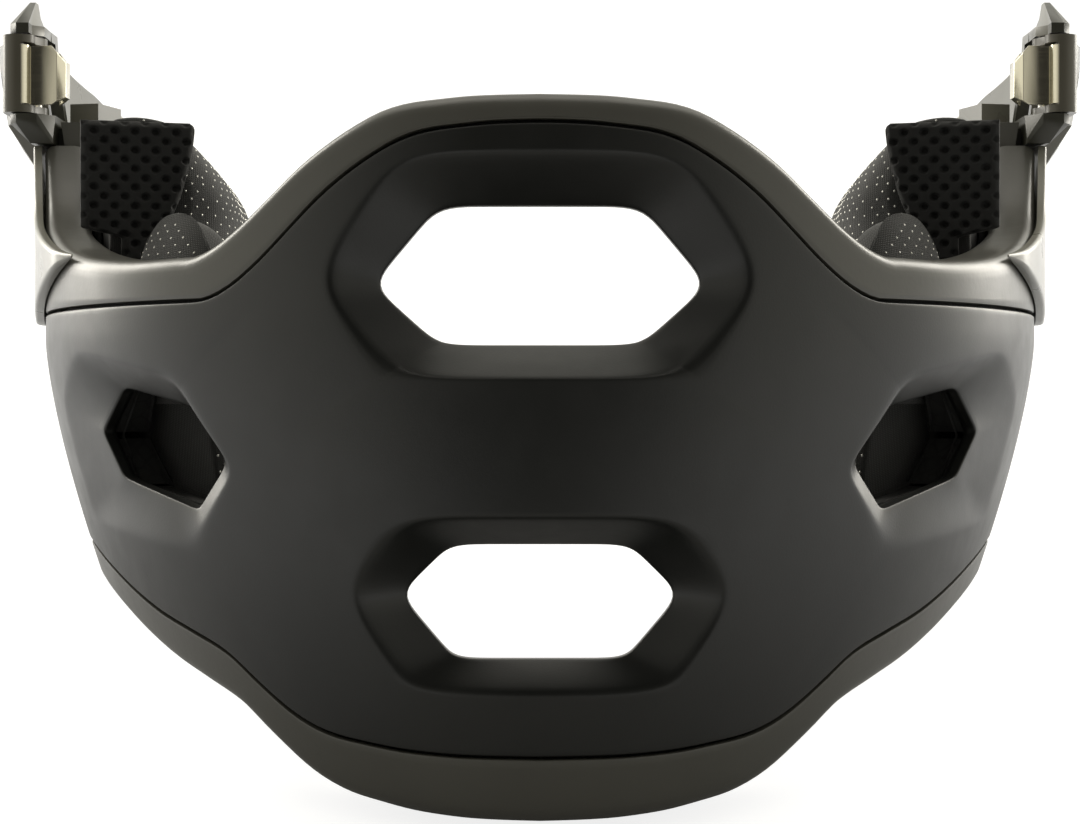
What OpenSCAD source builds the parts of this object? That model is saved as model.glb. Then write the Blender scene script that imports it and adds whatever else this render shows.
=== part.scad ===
// Removable chin bar of a mountain bike helmet: a foam-filled U-shaped face guard
// with four vents, padded cheeks and an over-centre latch on each arm.
// The bar is drawn level, chin forward along -Y, and the last step leans it back
// onto its chin and the rear corners of its arms.

/* [Bar] */
// Half width of the bar across the jaw, outside the shell
jaw_half_w = 100; // [94:1:106]
// Reach of the curved front, from the chin to where the arms run straight
front_reach = 115; // [108:1:122]
// Length of each straight arm behind the curved front
arm_l = 68; // [64:1:76]
// How far the rear end of each arm draws in
tail_in = 1.5; // [0:0.5:4]
// Thickness of the bar at the chin
chin_wall = 17; // [15:0.5:20]
// Thickness of the bar along the arms
arm_wall = 9; // [8.5:0.5:11]

/* [Edges] */
// Height of the upper edge at the nose
nose_top = 53; // [50:1:58]
// Height of the upper edge where it dips under the cheeks
cheek_top = 27; // [24:1:30]
// Rise of the upper edge from the cheek to the latch
arm_rise = 28; // [26:1:30]
// Depth of the lowest point of the chin
chin_low = 70; // [66:1:74]
// Depth of the lower edge of the arms
arm_low = 33.7; // [30:0.1:38]
// Height of the tip of the wing behind the latch
wing_top = 84.5; // [82:0.5:88]
// Height of the rear corner of the wing
wing_rear = 68; // [64:1:72]

/* [Curvature] */
// How far the chin tucks in at the lower edge
chin_tuck = 15.5; // [10:0.5:20]
// How far the lip tucks in at the upper edge
lip_tuck = 5.5; // [2:0.5:8]
// How far the sides tuck in at the lower edge
side_tuck = 12.2; // [8:0.2:16]
// How far the arms flare out at the height of the wing tip
arm_flare = 6; // [5:0.5:7]

/* [Shells] */
// Thickness of the face shell
shell_t = 2; // [1.6:0.1:2.6]
// Thickness of the upper and lower trims
trim_t = 1.8; // [1.4:0.1:2.4]
// Gap of the visible seams
seam = 0.5; // [0.3:0.1:0.8]
// Height of the upper trim's band at the nose
upper_band = 4.8; // [4:0.5:7]
// Height of the upper trim's band at the cheeks
cheek_band = 7.7; // [6:0.5:9]
// Height of the lower trim's band at the chin
chin_band = 11.5; // [9:0.5:14]
// Height of the lower trim's band on the arms
arm_band = 8.5; // [7:0.5:10]
// Depth of the trims' lips inside the bar
lip_h = 6; // [4:0.5:9]
// Radius of the rounded edges of the trims
edge_r = 2.6; // [2:0.2:3]
// Thickness of the side covers
cover_t = 1.8; // [1.5:0.1:2.4]
// Clearance between layers that are bonded together
bond = 0.3; // [0.25:0.05:0.4]

/* [Vents] */
// Width of the upper vent between its pointed ends
upper_vent_w = 56.6; // [50:0.2:60]
// Height of the upper vent
upper_vent_h = 23.4; // [20:0.2:26]
// Height of the centre of the upper vent
upper_vent_z = 23.4; // [21:0.2:26]
// Width of the lower vent between its pointed ends
lower_vent_w = 48.2; // [42:0.2:52]
// Height of the lower vent
lower_vent_h = 19.4; // [16:0.2:22]
// Depth of the centre of the lower vent
lower_vent_z = 32.6; // [30:0.2:35]
// Width of the bevel around the central vents
vent_bevel = 9; // [6:0.5:10]
// Depth of the bevel of the central vents
vent_sink = 12; // [9:0.5:13]
// Place of the side vents along the curve, in degrees from the chin
side_vent_at = 46; // [43:1:49]
// Length of the side vents
side_vent_w = 39; // [34:0.5:42]
// Height of the side vents
side_vent_h = 21; // [18:0.5:23]
// Depth of the bevel of the side vents
side_sink = 6; // [4:0.5:8]

/* [Latch] */
// Height of the lever
lever_h = 16; // [14:0.5:17]
// Thickness of the lever's flanges
flange_t = 1.6; // [1.2:0.1:2]
// Thickness of the lever's outer web
web_t = 2.2; // [1.8:0.1:2.6]
// Length of the lever behind its pivot
lever_l = 42; // [38:1:46]
// Radius of the pivot pin of the lever
pivot_r = 1.5; // [1.2:0.1:1.7]
// Radius of the pin that carries the claw
claw_pin_r = 1; // [0.8:0.05:1.1]
// Thickness of the claw's steel plate
claw_t = 1.1; // [0.8:0.1:1.3]
// Running clearance of the pins in their bores
run = 0.04; // [0.02:0.01:0.08]
// Clearance between the moving parts of the latch
play = 0.3; // [0.2:0.05:0.4]
// Radius of the locating pin inside each arm
locator_r = 2; // [1.6:0.1:2.4]
// Length of the locating pin that stands out of its block
locator_out = 5; // [4:0.5:6]
// Radius of the screws that hold the latch
screw_r = 1.5; // [1.2:0.1:1.7]

/* [Pads] */
// Greatest thickness of the cheek pads
cheek_pad_t = 28; // [22:1:32]
// Greatest thickness of the jaw pads
jaw_pad_t = 15; // [12:1:18]
// Thickness of the padded cover of the cheek pads
pad_skin = 2.4; // [1.8:0.2:3.2]
// Thickness of the hook-and-loop patches
patch_t = 0.9; // [0.7:0.1:1.2]
// Thickness of the boards behind the pads
board_t = 1; // [0.8:0.1:1.4]

/* [Hidden] */
$fn = 48;
SIDES = ["left", "right"];
CENTRE_NODES = ["face_shell", "upper_trim", "lower_trim", "impact_foam"];
SIDE_NODES = [
    "side_cover", "rear_cap", "arm_frame", "latch_housing", "housing_screws", "pivot_pin", "latch_lever",
    "claw_pin", "latch_claw", "locator_pin", "pad_patches", "pad_board", "cheek_pad", "cheek_pad_core",
    "pad_mesh", "jaw_patch", "jaw_pad"
];

BEND = 90;               // station where the curved front, a quarter turn, ends and the straight arm starts
END = BEND + arm_l;      // station of the rear end of an arm; one station is 1 mm along the arm
FULL_Z = 10;             // height at which the front bulges most
SIDE_FULL_Z = 14;        // height at which the sides bulge most
FLARE_Z = 30;            // height at which the arms start to flare
CHEEK_AT = 38.5;         // station where the fall from the nose to the cheeks ends
SEAM_AHEAD = 2.5;        // stations by which the seam's fall runs ahead of the edge's
RISE = [
    [BEND - 51.5, 0], [BEND - 40, 0.01], [BEND - 28, 0.1], [BEND - 16, 0.29], [BEND - 10, 0.41],
    [BEND - 6, 0.57], [BEND - 2, 0.83], [BEND, 1]
];
LOWER = [
    [0, 0], [8, 0.008], [12, 0.02], [16, 0.039], [20, 0.07], [24, 0.105], [27, 0.152], [30, 0.226],
    [34, 0.361], [38, 0.499], [44, 0.603], [50, 0.686], [56, 0.782], [62, 0.876], [68, 0.953], [74, 1],
    [END, 1]
];
// How much of the nose is left at each station, from the raised middle out to the cheeks
FALL = [
    [0, 1.012], [7, 1.003], [11, 0.983], [14, 0.962], [16.5, 0.92], [18.7, 0.855], [21.8, 0.737],
    [25, 0.586], [28.2, 0.4], [31.5, 0.218], [35, 0.073], [38.5, 0], [44, 0], [END, 0]
];
WALL = [[0, 0], [20, 0.05], [40, 0.3], [60, 0.65], [BEND - 14, 0.95], [BEND, 1], [END, 1]];

// Smooth step from 0 to 1, a straight mix, and a smooth curve through [x, y] points.
function ease(t) = let (c = max(0, min(1, t))) c * c * (3 - 2 * c);
function mix(a, b, t) = a + (b - a) * t;
function piece(x, p, i = 0) = i >= len(p) - 2 || x < p[i + 1][0] ? i : piece(x, p, i + 1);
function slope(p, i) =
    let (a = max(i - 1, 0), b = min(i + 1, len(p) - 1)) (p[b][1] - p[a][1]) / (p[b][0] - p[a][0]);
function curve(x, p) =
    let (
        i = piece(x, p), w = p[i + 1][0] - p[i][0], t = max(0, min(1, (x - p[i][0]) / w)),
        m = slope(p, i) * w, n = slope(p, i + 1) * w, a = p[i][1], b = p[i + 1][1]
    )
    a + t * (m + t * (3 * (b - a) - 2 * m - n + t * (2 * (a - b) + m + n)));

// The plan of the bar at station u: a quarter turn of the front, then millimetres along the arm.
function quarter(u) = 90 * max(-1, min(1, u / BEND));
function plan(u) =
    let (a = abs(quarter(u)), k = max(abs(u) - BEND, 0))
    [sign(u) * (jaw_half_w * sin(a) - tail_in * pow(k / arm_l, 2)), front_reach * (1 - cos(a)) + k];
function outward(u) =
    let (
        a = abs(quarter(u)), k = max(abs(u) - BEND, 0),
        n = k > 0 ? [sign(u), 2 * tail_in * k / pow(arm_l, 2)]
                  : [sign(u) * front_reach * sin(a), -jaw_half_w * cos(a)]
    )
    n / norm(n);
function turn(u) = atan2(front_reach * sin(quarter(u)), jaw_half_w * cos(quarter(u)));

// How far the outer surface stands out from the plan at a height z.
// Stations where the flare of the arms starts, is full, and starts to fall
FLARE_U = [BEND - 24, BEND - 4, BEND + 20];
function front_tuck(z) =
    z > FULL_Z ? -lip_tuck * pow((z - FULL_Z) / (nose_top - FULL_Z), 2)
               : -chin_tuck * pow((FULL_Z - z) / (FULL_Z + chin_low), 2.2);
function side_bulge(z) =
    z > SIDE_FULL_Z ? 0 : -side_tuck * pow((SIDE_FULL_Z - z) / (SIDE_FULL_Z + arm_low), 1.4);
function flare(u, z) =
    arm_flare * ease((z - FLARE_Z) / (wing_top - FLARE_Z))
    * ease((abs(u) - FLARE_U[0]) / (FLARE_U[1] - FLARE_U[0]))
    * (1 - ease((abs(u) - FLARE_U[2]) / (END + 4 - FLARE_U[2])));
function relief(u, z) =
    mix(front_tuck(z), side_bulge(z), ease(abs(u) / BEND)) + flare(u, z);
function skin(u, z, d = 0) =
    let (p = plan(u), n = outward(u), o = relief(u, z) + d) [p[0] + n[0] * o, p[1] + n[1] * o, z];

// The edges and seams of the bar, as heights along the stations.
function fall(u, ahead = 0) = abs(u) + ahead > CHEEK_AT ? 0 : curve(abs(u) + ahead, FALL);
function upper_edge(u) =
    cheek_top + (nose_top - cheek_top) * fall(u) + (abs(u) > CHEEK_AT ? arm_rise * curve(abs(u), RISE) : 0);
function upper_seam(u) =
    mix(cheek_top - cheek_band, nose_top - upper_band, fall(u, SEAM_AHEAD));
function lower_edge(u) = mix(-chin_low, -arm_low, curve(abs(u), LOWER));
function lower_seam(u) = lower_edge(u) + mix(chin_band, arm_band, ease(abs(u) / 60));
function wall(u) = mix(chin_wall, arm_wall, curve(abs(u), WALL));

// A ribbon with an outer and an inner path of [d, z] points at each station, as one closed solid.
function quad(a, b, c, d) = [[a, b, c], [a, c, d]];
module ribbon(us, outer, inner) {
    m = len(outer(us[0]));
    n = len(us);
    half = n * m;
    points = [
        for (path = [outer, inner]) for (u = us) for (q = path(u)) skin(u, q[1], q[0])
    ];
    faces = [
        for (i = [0 : n - 2]) for (j = [0 : m - 2])
            let (a = i * m + j, b = a + 1, c = a + m + 1, d = a + m)
                for (f = concat(quad(a, b, c, d), quad(half + a, half + d, half + c, half + b))) f,
        for (i = [0 : n - 2])
            let (a = i * m, d = a + m, b = a + m - 1, c = b + m)
                for (f = concat(quad(a, d, half + d, half + a), quad(c, b, half + b, half + c))) f,
        for (j = [0 : m - 2])
            let (a = j, b = a + 1, c = (n - 1) * m + j, d = c + 1)
                for (f = concat(quad(b, a, half + a, half + b), quad(c, d, half + d, half + c))) f
    ];
    polyhedron(points, faces);
}
// A panel between two heights and two depths, each a function of the station.
module panel(us, rows, low, high, outer_d, inner_d) {
    ribbon(
        us,
        function (u) [for (j = [0 : rows]) let (z = mix(low(u), high(u), j / rows)) [outer_d(u, z), z]],
        function (u) [for (j = [0 : rows]) let (z = mix(low(u), high(u), j / rows)) [inner_d(u, z), z]]
    );
}

CAP_T = 2;               // thickness of the caps at the rear ends of the arms
STEP = 3.75;             // stations between two ribs of the curved front
half_count = round(BEND / STEP);
front_stations = [for (i = [-half_count : half_count]) BEND * i / half_count];
arm_stations = [for (i = [1 : 4]) BEND + (arm_l - CAP_T) * i / 4];
bar_stations = concat(backward([for (u = arm_stations) -u]), front_stations, arm_stations);
function stations(a, b, n) = [for (i = [0 : n]) mix(a, b, i / n)];

// A vent is [station, pointed ends, half widths of top and bottom, heights]: six corners round its centre.
function hexagon(w, h, tip, top, bottom, grow = 0) =
    let (k = grow / (h / 2))
    [[-w / 2 - grow * 1.1, tip * h], [-top * w / 2 * (1 + k * 0.4), h / 2 + grow],
     [top * w / 2 * (1 + k * 0.4), h / 2 + grow], [w / 2 + grow * 1.1, tip * h],
     [bottom * w / 2 * (1 + k * 0.4), -h / 2 - grow], [-bottom * w / 2 * (1 + k * 0.4), -h / 2 - grow]];
function side_hexagon(grow = 0) =
    [for (p = [[-0.52, -0.1], [-0.24, 0.35], [0.34, 0.52], [0.49, 0.1], [0.34, -0.28], [-0.31, -0.5]])
        [p[0] * (side_vent_w + 2 * grow * 1.2), -6.2 + p[1] * (side_vent_h + 2 * grow)]];
module at_vent(u) {
    p = plan(u);
    translate([p[0], p[1], 0]) rotate([90, 0, turn(u)]) children();
}
module slab(outline, c, t) translate([0, 0, c]) linear_extrude(t) polygon(outline);
// The funnel narrows from the wide outline at the surface to the opening at the sink depth.
module funnel(wide, narrow, sink, grow = 0) {
    hull() {
        slab([for (p = wide) p * (1 + grow * 0.03)], 2, 0.1);
        slab([for (p = narrow) p * (1 + grow * 0.03)], -sink - grow, 0.1);
    }
}
BORE = 40; // length of the cut through the bar behind a vent
module tunnel(narrow, grow = 0) slab([for (p = narrow) p * (1 + grow * 0.03)], -BORE, BORE + 6);
module central_vent(upper, grow, cut) {
    w = upper ? upper_vent_w : lower_vent_w;
    h = upper ? upper_vent_h : lower_vent_h;
    top = upper ? 0.62 : 0.65;
    bottom = upper ? 0.6 : 0.61;
    tip = upper ? -0.07 : 0.06;
    translate([0, 0, upper ? upper_vent_z : -lower_vent_z]) at_vent(0) {
        if (cut == "tunnel") tunnel(hexagon(w, h, tip, top, bottom), grow);
        else translate([0, 0, upper ? 0 : -4])
            funnel(hexagon(w, h, tip, top, bottom, vent_bevel), hexagon(w, h, tip, top, bottom),
                   upper ? vent_sink : vent_sink - 1, grow);
    }
}
module side_vent(grow, cut) {
    at_vent(side_vent_at) {
        if (cut == "tunnel") tunnel(side_hexagon(), grow);
        else funnel(side_hexagon(5), side_hexagon(), side_sink, grow);
    }
}
module vents(grow, cut) {
    central_vent(true, grow, cut);
    central_vent(false, grow, cut);
    side_vent(grow, cut);
    mirror([1, 0, 0]) side_vent(grow, cut);
}

module shell_layer(depth) {
    panel(
        bar_stations, 8,
        function (u) lower_seam(u) + seam / 2, function (u) upper_seam(u) - seam / 2,
        function (u, z) 0, function (u, z) -depth
    );
}
module face_shell() color([0.2, 0.2, 0.2]) {
    difference() {
        union() {
            difference() {
                shell_layer(shell_t);
                vents(0, "funnel");
            }
            difference() {
                intersection() {
                    shell_layer(vent_sink);
                    vents(shell_t, "funnel");
                }
                vents(0, "funnel");
            }
        }
        vents(0, "tunnel");
    }
}

// The trims wrap over the edges of the bar, rounded outside, with a lip inside.
module edge_trim(us, seam_z, edge_z, way, rows) {
    function rounded(d0, d1, e, r) = [
        for (a = [0, 30, 60, 90]) [d0 - r + r * cos(a), e - way * (r - r * sin(a))],
        for (a = [90, 45, 0]) [d1 + r - r * cos(a), e - way * (r - r * sin(a))]
    ];
    function wrap(u, t, r) =
        let (e = edge_z(u), w = wall(u), s = seam_z(u) + way * seam / 2)
        concat([for (i = [0 : rows - 1]) [-t, mix(s, e - way * edge_r, i / rows)]],
               rounded(-t, -w + t, e - way * t, r), [[-w + t, e - way * lip_h]]);
    function ordered(path) = way > 0 ? path : backward(path);
    ribbon(
        us, function (u) ordered(wrap(u, 0, edge_r)),
        function (u) ordered(wrap(u, trim_t, edge_r - trim_t / 2))
    );
}
function backward(list) = [for (i = [len(list) - 1 : -1 : 0]) list[i]];
module upper_trim() color([0.32, 0.32, 0.3])
    edge_trim(front_stations, function (u) upper_seam(u), function (u) upper_edge(u), 1, 4);
module lower_trim() color([0.32, 0.32, 0.3])
    edge_trim(bar_stations, function (u) lower_seam(u), function (u) lower_edge(u), -1, 1);

// The foam fills the bar inside the shell and the trims. Behind the bend it ends below the arm's frame.
layer_d = max(shell_t, trim_t) + bond;   // depth of what lies under the shell and the trims
EDGE_ROOM = 0.6;         // extra room under the rounded edges of the trims
function foam_top(u) = abs(u) < BEND ? upper_edge(u) - trim_t - bond - EDGE_ROOM : FRAME_LOW - bond;
DROP = 0.4;              // stations over which the foam drops to the level of the frame
foam_stations = [for (u = bar_stations) each abs(u) != BEND ? [u] : u < 0 ? [u, u + DROP] : [u - DROP, u]];
module impact_foam() color([0.1, 0.1, 0.1]) {
    rows = 6;
    difference() {
        ribbon(
            foam_stations,
            function (u) let (low = lower_edge(u) + trim_t + bond + EDGE_ROOM)
                [for (i = [0 : rows + 4]) [-layer_d, mix(low, foam_top(u), i / (rows + 4))]],
            function (u)
                let (
                    w = -wall(u), low = lower_edge(u) + lip_h + bond,
                    high = abs(u) < BEND ? upper_edge(u) - lip_h - bond : foam_top(u) - lip_h,
                    lip = trim_t + bond, top_lip = abs(u) < BEND ? lip : 0
                )
                concat([[w + lip, lower_edge(u) + trim_t + bond + EDGE_ROOM], [w + lip, low]],
                       [for (i = [0 : rows]) [w, mix(low + bond, high - bond, i / rows)]],
                       [[w + top_lip, high], [w + top_lip, foam_top(u)]])
        );
        vents(shell_t + 1, "funnel");
        vents(1.5, "tunnel");
    }
}

// Everything on one side is drawn for the right-hand arm and mirrored for the left.
module sided(side) {
    if (side == "left") mirror([1, 0, 0]) children();
    else children();
}

// The side cover ends in a slanting front edge and rises behind the latch as a thin wing.
WING = [[BEND + 14, 1], [BEND + 19, 0.9], [BEND + 27, 0.66], [BEND + 37, 0.42], [BEND + 47, 0.28],
        [BEND + 57, 0.17], [END - 3, 0], [END, -0.35]];
COVER_FRONT = [BEND - 30, BEND - 8]; // stations of the top and the low tip of the slanting edge
COVER_LOW = [17.5, 23];  // heights of the low tip and of the rear lower corner
NOTCH_L = 14;            // length of the notch that the latch stands in
function cover_low(u) =
    u < COVER_FRONT[1]
        ? mix(cheek_top, COVER_LOW[0], (u - COVER_FRONT[0]) / (COVER_FRONT[1] - COVER_FRONT[0]))
        : mix(COVER_LOW[0], COVER_LOW[1], ease((u - COVER_FRONT[1]) / (END - COVER_FRONT[1])));
function arm_top() = cheek_top + arm_rise;
function cover_high(u) =
    u <= BEND ? upper_edge(u)
    : u <= BEND + NOTCH_L - 0.01 ? arm_top()
    : mix(wing_rear, wing_top, curve(u, WING));
cover_d = cover_t + bond; // how far the cover's outer face stands off the bar
module side_cover() color([0.42, 0.42, 0.4])
    panel(
        concat(stations(COVER_FRONT[0] + 1, COVER_FRONT[1], 6), [(COVER_FRONT[1] + BEND) / 2, BEND],
               [BEND + NOTCH_L - 1, BEND + NOTCH_L],
               stations(BEND + NOTCH_L + 4, END - 4, 8), [END - 1.5, END]), 8,
        function (u) cover_low(u), function (u) cover_high(u),
        function (u, z) cover_d, function (u, z) bond
    );

// A cap closes the rear end of the arm behind the trims and the foam.
CAP_TOP = 52;            // height of the cap
module rear_cap() color([0.32, 0.32, 0.3])
    panel(
        [END - CAP_T, END], 6,
        function (u) lower_edge(u) + edge_r, function (u) CAP_TOP,
        function (u, z) 0, function (u, z) -arm_wall
    );

// The nylon frame inside the arm carries the latch and the locating block.
LEG_T = 1.6;             // thickness of the housing's leg between cover and frame
frame_d = layer_d + LEG_T + bond; // depth of the frame's outer face
FRAME_LOW = 22;          // height of the lower edge of the frame
FRAME_TOP = 60;          // height of the upper edge of the frame
block = [6.5, 12, 5];    // the locating block: across, along and up
BLOCK_AT = [20, 61];     // place of the block behind the start of the arm, and its height
BLOCK_TURN = 15;         // the block and its pin point rearward and this much inward
SHANK_L = 7;             // length of the pin's shank in the block
shank_r = locator_r - 0.5;
function block_corner() =
    [skin(BEND + BLOCK_AT[0], BLOCK_AT[1], -arm_wall)[0], front_reach + BLOCK_AT[0], BLOCK_AT[1] - 2];
module arm_frame() color([0.14, 0.14, 0.14]) {
    difference() {
        union() {
            panel(stations(BEND + 1.5, END - CAP_T - 2, 6), 6,
                  function (u) FRAME_LOW, function (u) FRAME_TOP,
                  function (u, z) -frame_d, function (u, z) -wall(u));
            at_block() cube([block[0], block[1], block[2] + 2]);
        }
        locator_axis() translate([0, 0, -SHANK_L - 0.2]) cylinder(r = shank_r + run, h = SHANK_L + 1);
        for (z = SCREW_ZS) screw_axis(z) cylinder(r = screw_r + run, h = LEG_T + bond + SCREW_BITE);
    }
}
module at_block() translate(block_corner()) rotate([0, 0, BLOCK_TURN]) children();
module locator_axis()
    at_block() translate([block[0] / 2, block[1], 2 + block[2] / 2]) rotate([-90, 0, 0]) children();
module locator_pin() color([0.75, 0.75, 0.75])
    locator_axis() {
        cylinder(r = locator_r, h = locator_out);
        translate([0, 0, -SHANK_L]) cylinder(r = shank_r, h = SHANK_L);
    }

// The latch: a housing with two ears, a lever that swings outward, and a steel claw on the lever.
LEVER_Z = 61.6;          // height of the underside of the lever
ring_r = claw_pin_r + run + claw_t;       // outer radius of the claw's curl
knuckle_r = ring_r + play + 0.8;          // outer radius of the lever's knuckle
pivot = [jaw_half_w + 5.2, front_reach + 4.8];
claw_axis = pivot + [2.2, -5.8];
hub_r = pivot_r + 1.1;   // radius of the lever's eyes round the pivot
EAR_FRONT = -4;          // front of the ears from the start of the arm
EAR_BACK = 18;           // back of the ears from the start of the arm
EAR_T = 2;               // thickness of the upper ear
WEB = 2.2;               // thickness of the lower ear's tail
LEG_LOW = 34;            // height of the foot of the housing's leg
SCREW_ZS = [38.5, 47];
SCREW_Y = 12;            // place of the screws behind the start of the arm
HEAD = [2.6, 0.9];       // radius and height of a screw's head
SCREW_BITE = 3.6;        // depth of the screws in the frame
lever_top = LEVER_Z + lever_h;
low_ear_top = LEVER_Z - play;
ear_z = lever_top + play;
pin_l = ear_z + EAR_T - low_ear_top + 3.4; // length of the pivot pin
function leg_face(z) = skin(BEND + SCREW_Y, z, -layer_d)[0];
module screw_axis(z) translate([leg_face(z), front_reach + SCREW_Y, z]) rotate([0, -90, 0]) children();
function ear_x() = skin(BEND + EAR_BACK / 2, arm_top() + 4, -layer_d)[0] - 0.7; // inner side of the lower ear
ear_out = pivot[0] + 3.8;                      // outer side of both ears
ear_rear = front_reach + NOTCH_L - 1.5;
module low_ear()
    linear_extrude(2) polygon([
        [ear_x(), front_reach + 1], [ear_x() + 3, front_reach + EAR_FRONT],
        [ear_out - 1.5, front_reach + EAR_FRONT],
        [ear_out, front_reach + EAR_FRONT + 2], [ear_out, front_reach + 7], [ear_x() + WEB, ear_rear],
        [ear_x(), ear_rear]
    ]);
// The outline of the fin, the part of the upper ear that rises to a tip in front of the wing
fin = [
    [pivot[0] - 0.3, front_reach + EAR_FRONT], [ear_out - 1.5, front_reach + EAR_FRONT],
    [ear_out, front_reach + EAR_FRONT + 2], [ear_out, front_reach + 7], [pivot[0] + 1.2, ear_rear],
    [pivot[0] - 0.3, ear_rear]
];
module latch_housing() color([0.12, 0.12, 0.12]) {
    difference() {
        union() {
            hull() {
                translate([0, 0, low_ear_top - 2]) low_ear();
                translate([ear_x(), front_reach + EAR_FRONT + 2, arm_top() + bond]) cube([4.6, 13, 1]);
            }
            hull() {
                translate([0, 0, ear_z]) linear_extrude(EAR_T) polygon(fin);
                translate([pivot[0] + 0.7, ear_rear - 3, wing_top + 0.5]) cube([1.2, 3, 1]);
            }
            translate([0, 0, ear_z]) linear_extrude(EAR_T) polygon([
                [pivot[0], front_reach - 0.4], [pivot[0] + 1.2, ear_rear], [pivot[0] - 2.2, ear_rear],
                [pivot[0] - pivot_r - 0.9, front_reach + 6], [pivot[0] - pivot_r - 0.9, front_reach + 2.4]
            ]);
            translate([ear_x(), ear_rear - 1.5, arm_top() + bond])
                cube([WEB, EAR_BACK - NOTCH_L + 3, low_ear_top - arm_top() - bond]);
            // The web behind the claw, and the tail of the upper ear, lie along the inside of the wing
            panel(stations(BEND + NOTCH_L + 1, BEND + EAR_BACK, 3), 6,
                  function (u) arm_top() + bond, function (u) ear_z + EAR_T,
                  function (u, z) -bond, function (u, z) -layer_d - 0.6);
            panel(stations(BEND + NOTCH_L - 3, BEND + EAR_BACK, 3), 1,
                  function (u) ear_z, function (u) ear_z + EAR_T,
                  function (u, z) -bond, function (u, z) -layer_d - 0.6);
            panel(stations(BEND + 5, BEND + EAR_BACK, 3), 4,
                  function (u) LEG_LOW, function (u) arm_top() + 4,
                  function (u, z) -layer_d, function (u, z) -frame_d + bond);
        }
        translate([pivot[0], pivot[1], low_ear_top - 4]) cylinder(r = pivot_r + run, h = pin_l + 0.3);
        for (z = SCREW_ZS) screw_axis(z) translate([0, 0, -4]) {
            cylinder(r = screw_r + run, h = 12);
            cylinder(r = HEAD[0] + play, h = 4 + HEAD[1]);
        }
    }
}
module housing_screws() color([0.6, 0.6, 0.6])
    for (z = SCREW_ZS) screw_axis(z) {
        translate([0, 0, HEAD[1]]) cylinder(r = screw_r, h = LEG_T - HEAD[1] + bond + SCREW_BITE - 0.3);
        cylinder(r = HEAD[0], h = HEAD[1]);
    }
module pivot_pin() color([0.8, 0.8, 0.8])
    translate([pivot[0], pivot[1], low_ear_top - 3.8]) cylinder(r = pivot_r, h = pin_l);

// The lever's blade follows the outside of the cover and bows out from it, to leave room for a finger.
BLADE_GAP = 0.5;         // room between the blade and the cover
BLADE_T = 3.2;           // thickness of the blade
BLADE_AT = 8;            // place of the blade's start behind the start of the arm
BOW = 4;                 // how far the blade bows out
SCOOP = [50.5, 17, 5];   // height of its lower edge, and where that edge drops and how fast
BLADE_DROP = 6;          // how far its upper edge falls to the rear
blade_end = pivot[1] - front_reach + lever_l;
function blade_in(u, z) =
    cover_d + BLADE_GAP + BOW * ease((u - BEND - BLADE_AT) / 10) * ease((z - SCOOP[0] + 1.5) / 9);
module blade()
    panel(
        stations(BEND + BLADE_AT, BEND + blade_end, 4), 8,
        function (u) mix(LEVER_Z, SCOOP[0], ease((u - BEND - SCOOP[1]) / SCOOP[2])),
        function (u) lever_top - BLADE_DROP * ease((u - BEND - 22) / 25),
        function (u, z) blade_in(u, z) + BLADE_T + 1.5 * ease((u - BEND - blade_end + 6) / 6),
        function (u, z) blade_in(u, z)
    );
module lever_link() {
    root = skin(BEND + BLADE_AT + 3, LEVER_Z + lever_h / 2, cover_d + BLADE_GAP)[0] + 1.5;
    translate(pivot) circle(hub_r);
    polygon([
        claw_axis + [-knuckle_r + 0.6, 0], claw_axis + [knuckle_r, 0],
        [claw_axis[0] + knuckle_r, front_reach + BLADE_AT + 1],
        [root, front_reach + BLADE_AT + 3], pivot + [-hub_r * 0.6, hub_r * 0.8],
        pivot + [-hub_r, 0]
    ]);
}
module latch_lever() color([0.12, 0.12, 0.12]) {
    difference() {
        union() {
            blade();
            translate([0, 0, LEVER_Z]) linear_extrude(lever_h) lever_link();
            translate([claw_axis[0], claw_axis[1], LEVER_Z]) cylinder(r = knuckle_r, h = lever_h);
        }
        // The pocket between the flanges, open on the inner side, for the claw and its curl
        translate([0, 0, LEVER_Z + flange_t]) {
            translate(claw_axis) cylinder(r = ring_r + play, h = lever_h - 2 * flange_t);
            linear_extrude(lever_h - 2 * flange_t) polygon([
                [pivot[0] - 12, claw_axis[1] - 8], [claw_axis[0] - 0.9, claw_axis[1] - 8],
                claw_axis + [-0.9, 0], [claw_axis[0] - 0.9, front_reach + 3],
                [claw_axis[0] + 1, front_reach + BLADE_AT], [pivot[0] - 12, front_reach + BLADE_AT + 6]
            ]);
        }
        translate([pivot[0], pivot[1], LEVER_Z - 1]) cylinder(r = pivot_r + run, h = lever_h + 2);
        translate([claw_axis[0], claw_axis[1], LEVER_Z - 1]) cylinder(r = claw_pin_r + run, h = lever_h + 2);
    }
}
module claw_pin() color([0.8, 0.8, 0.8])
    translate([claw_axis[0], claw_axis[1], LEVER_Z + 0.2]) cylinder(r = claw_pin_r, h = lever_h - 0.4);

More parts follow.
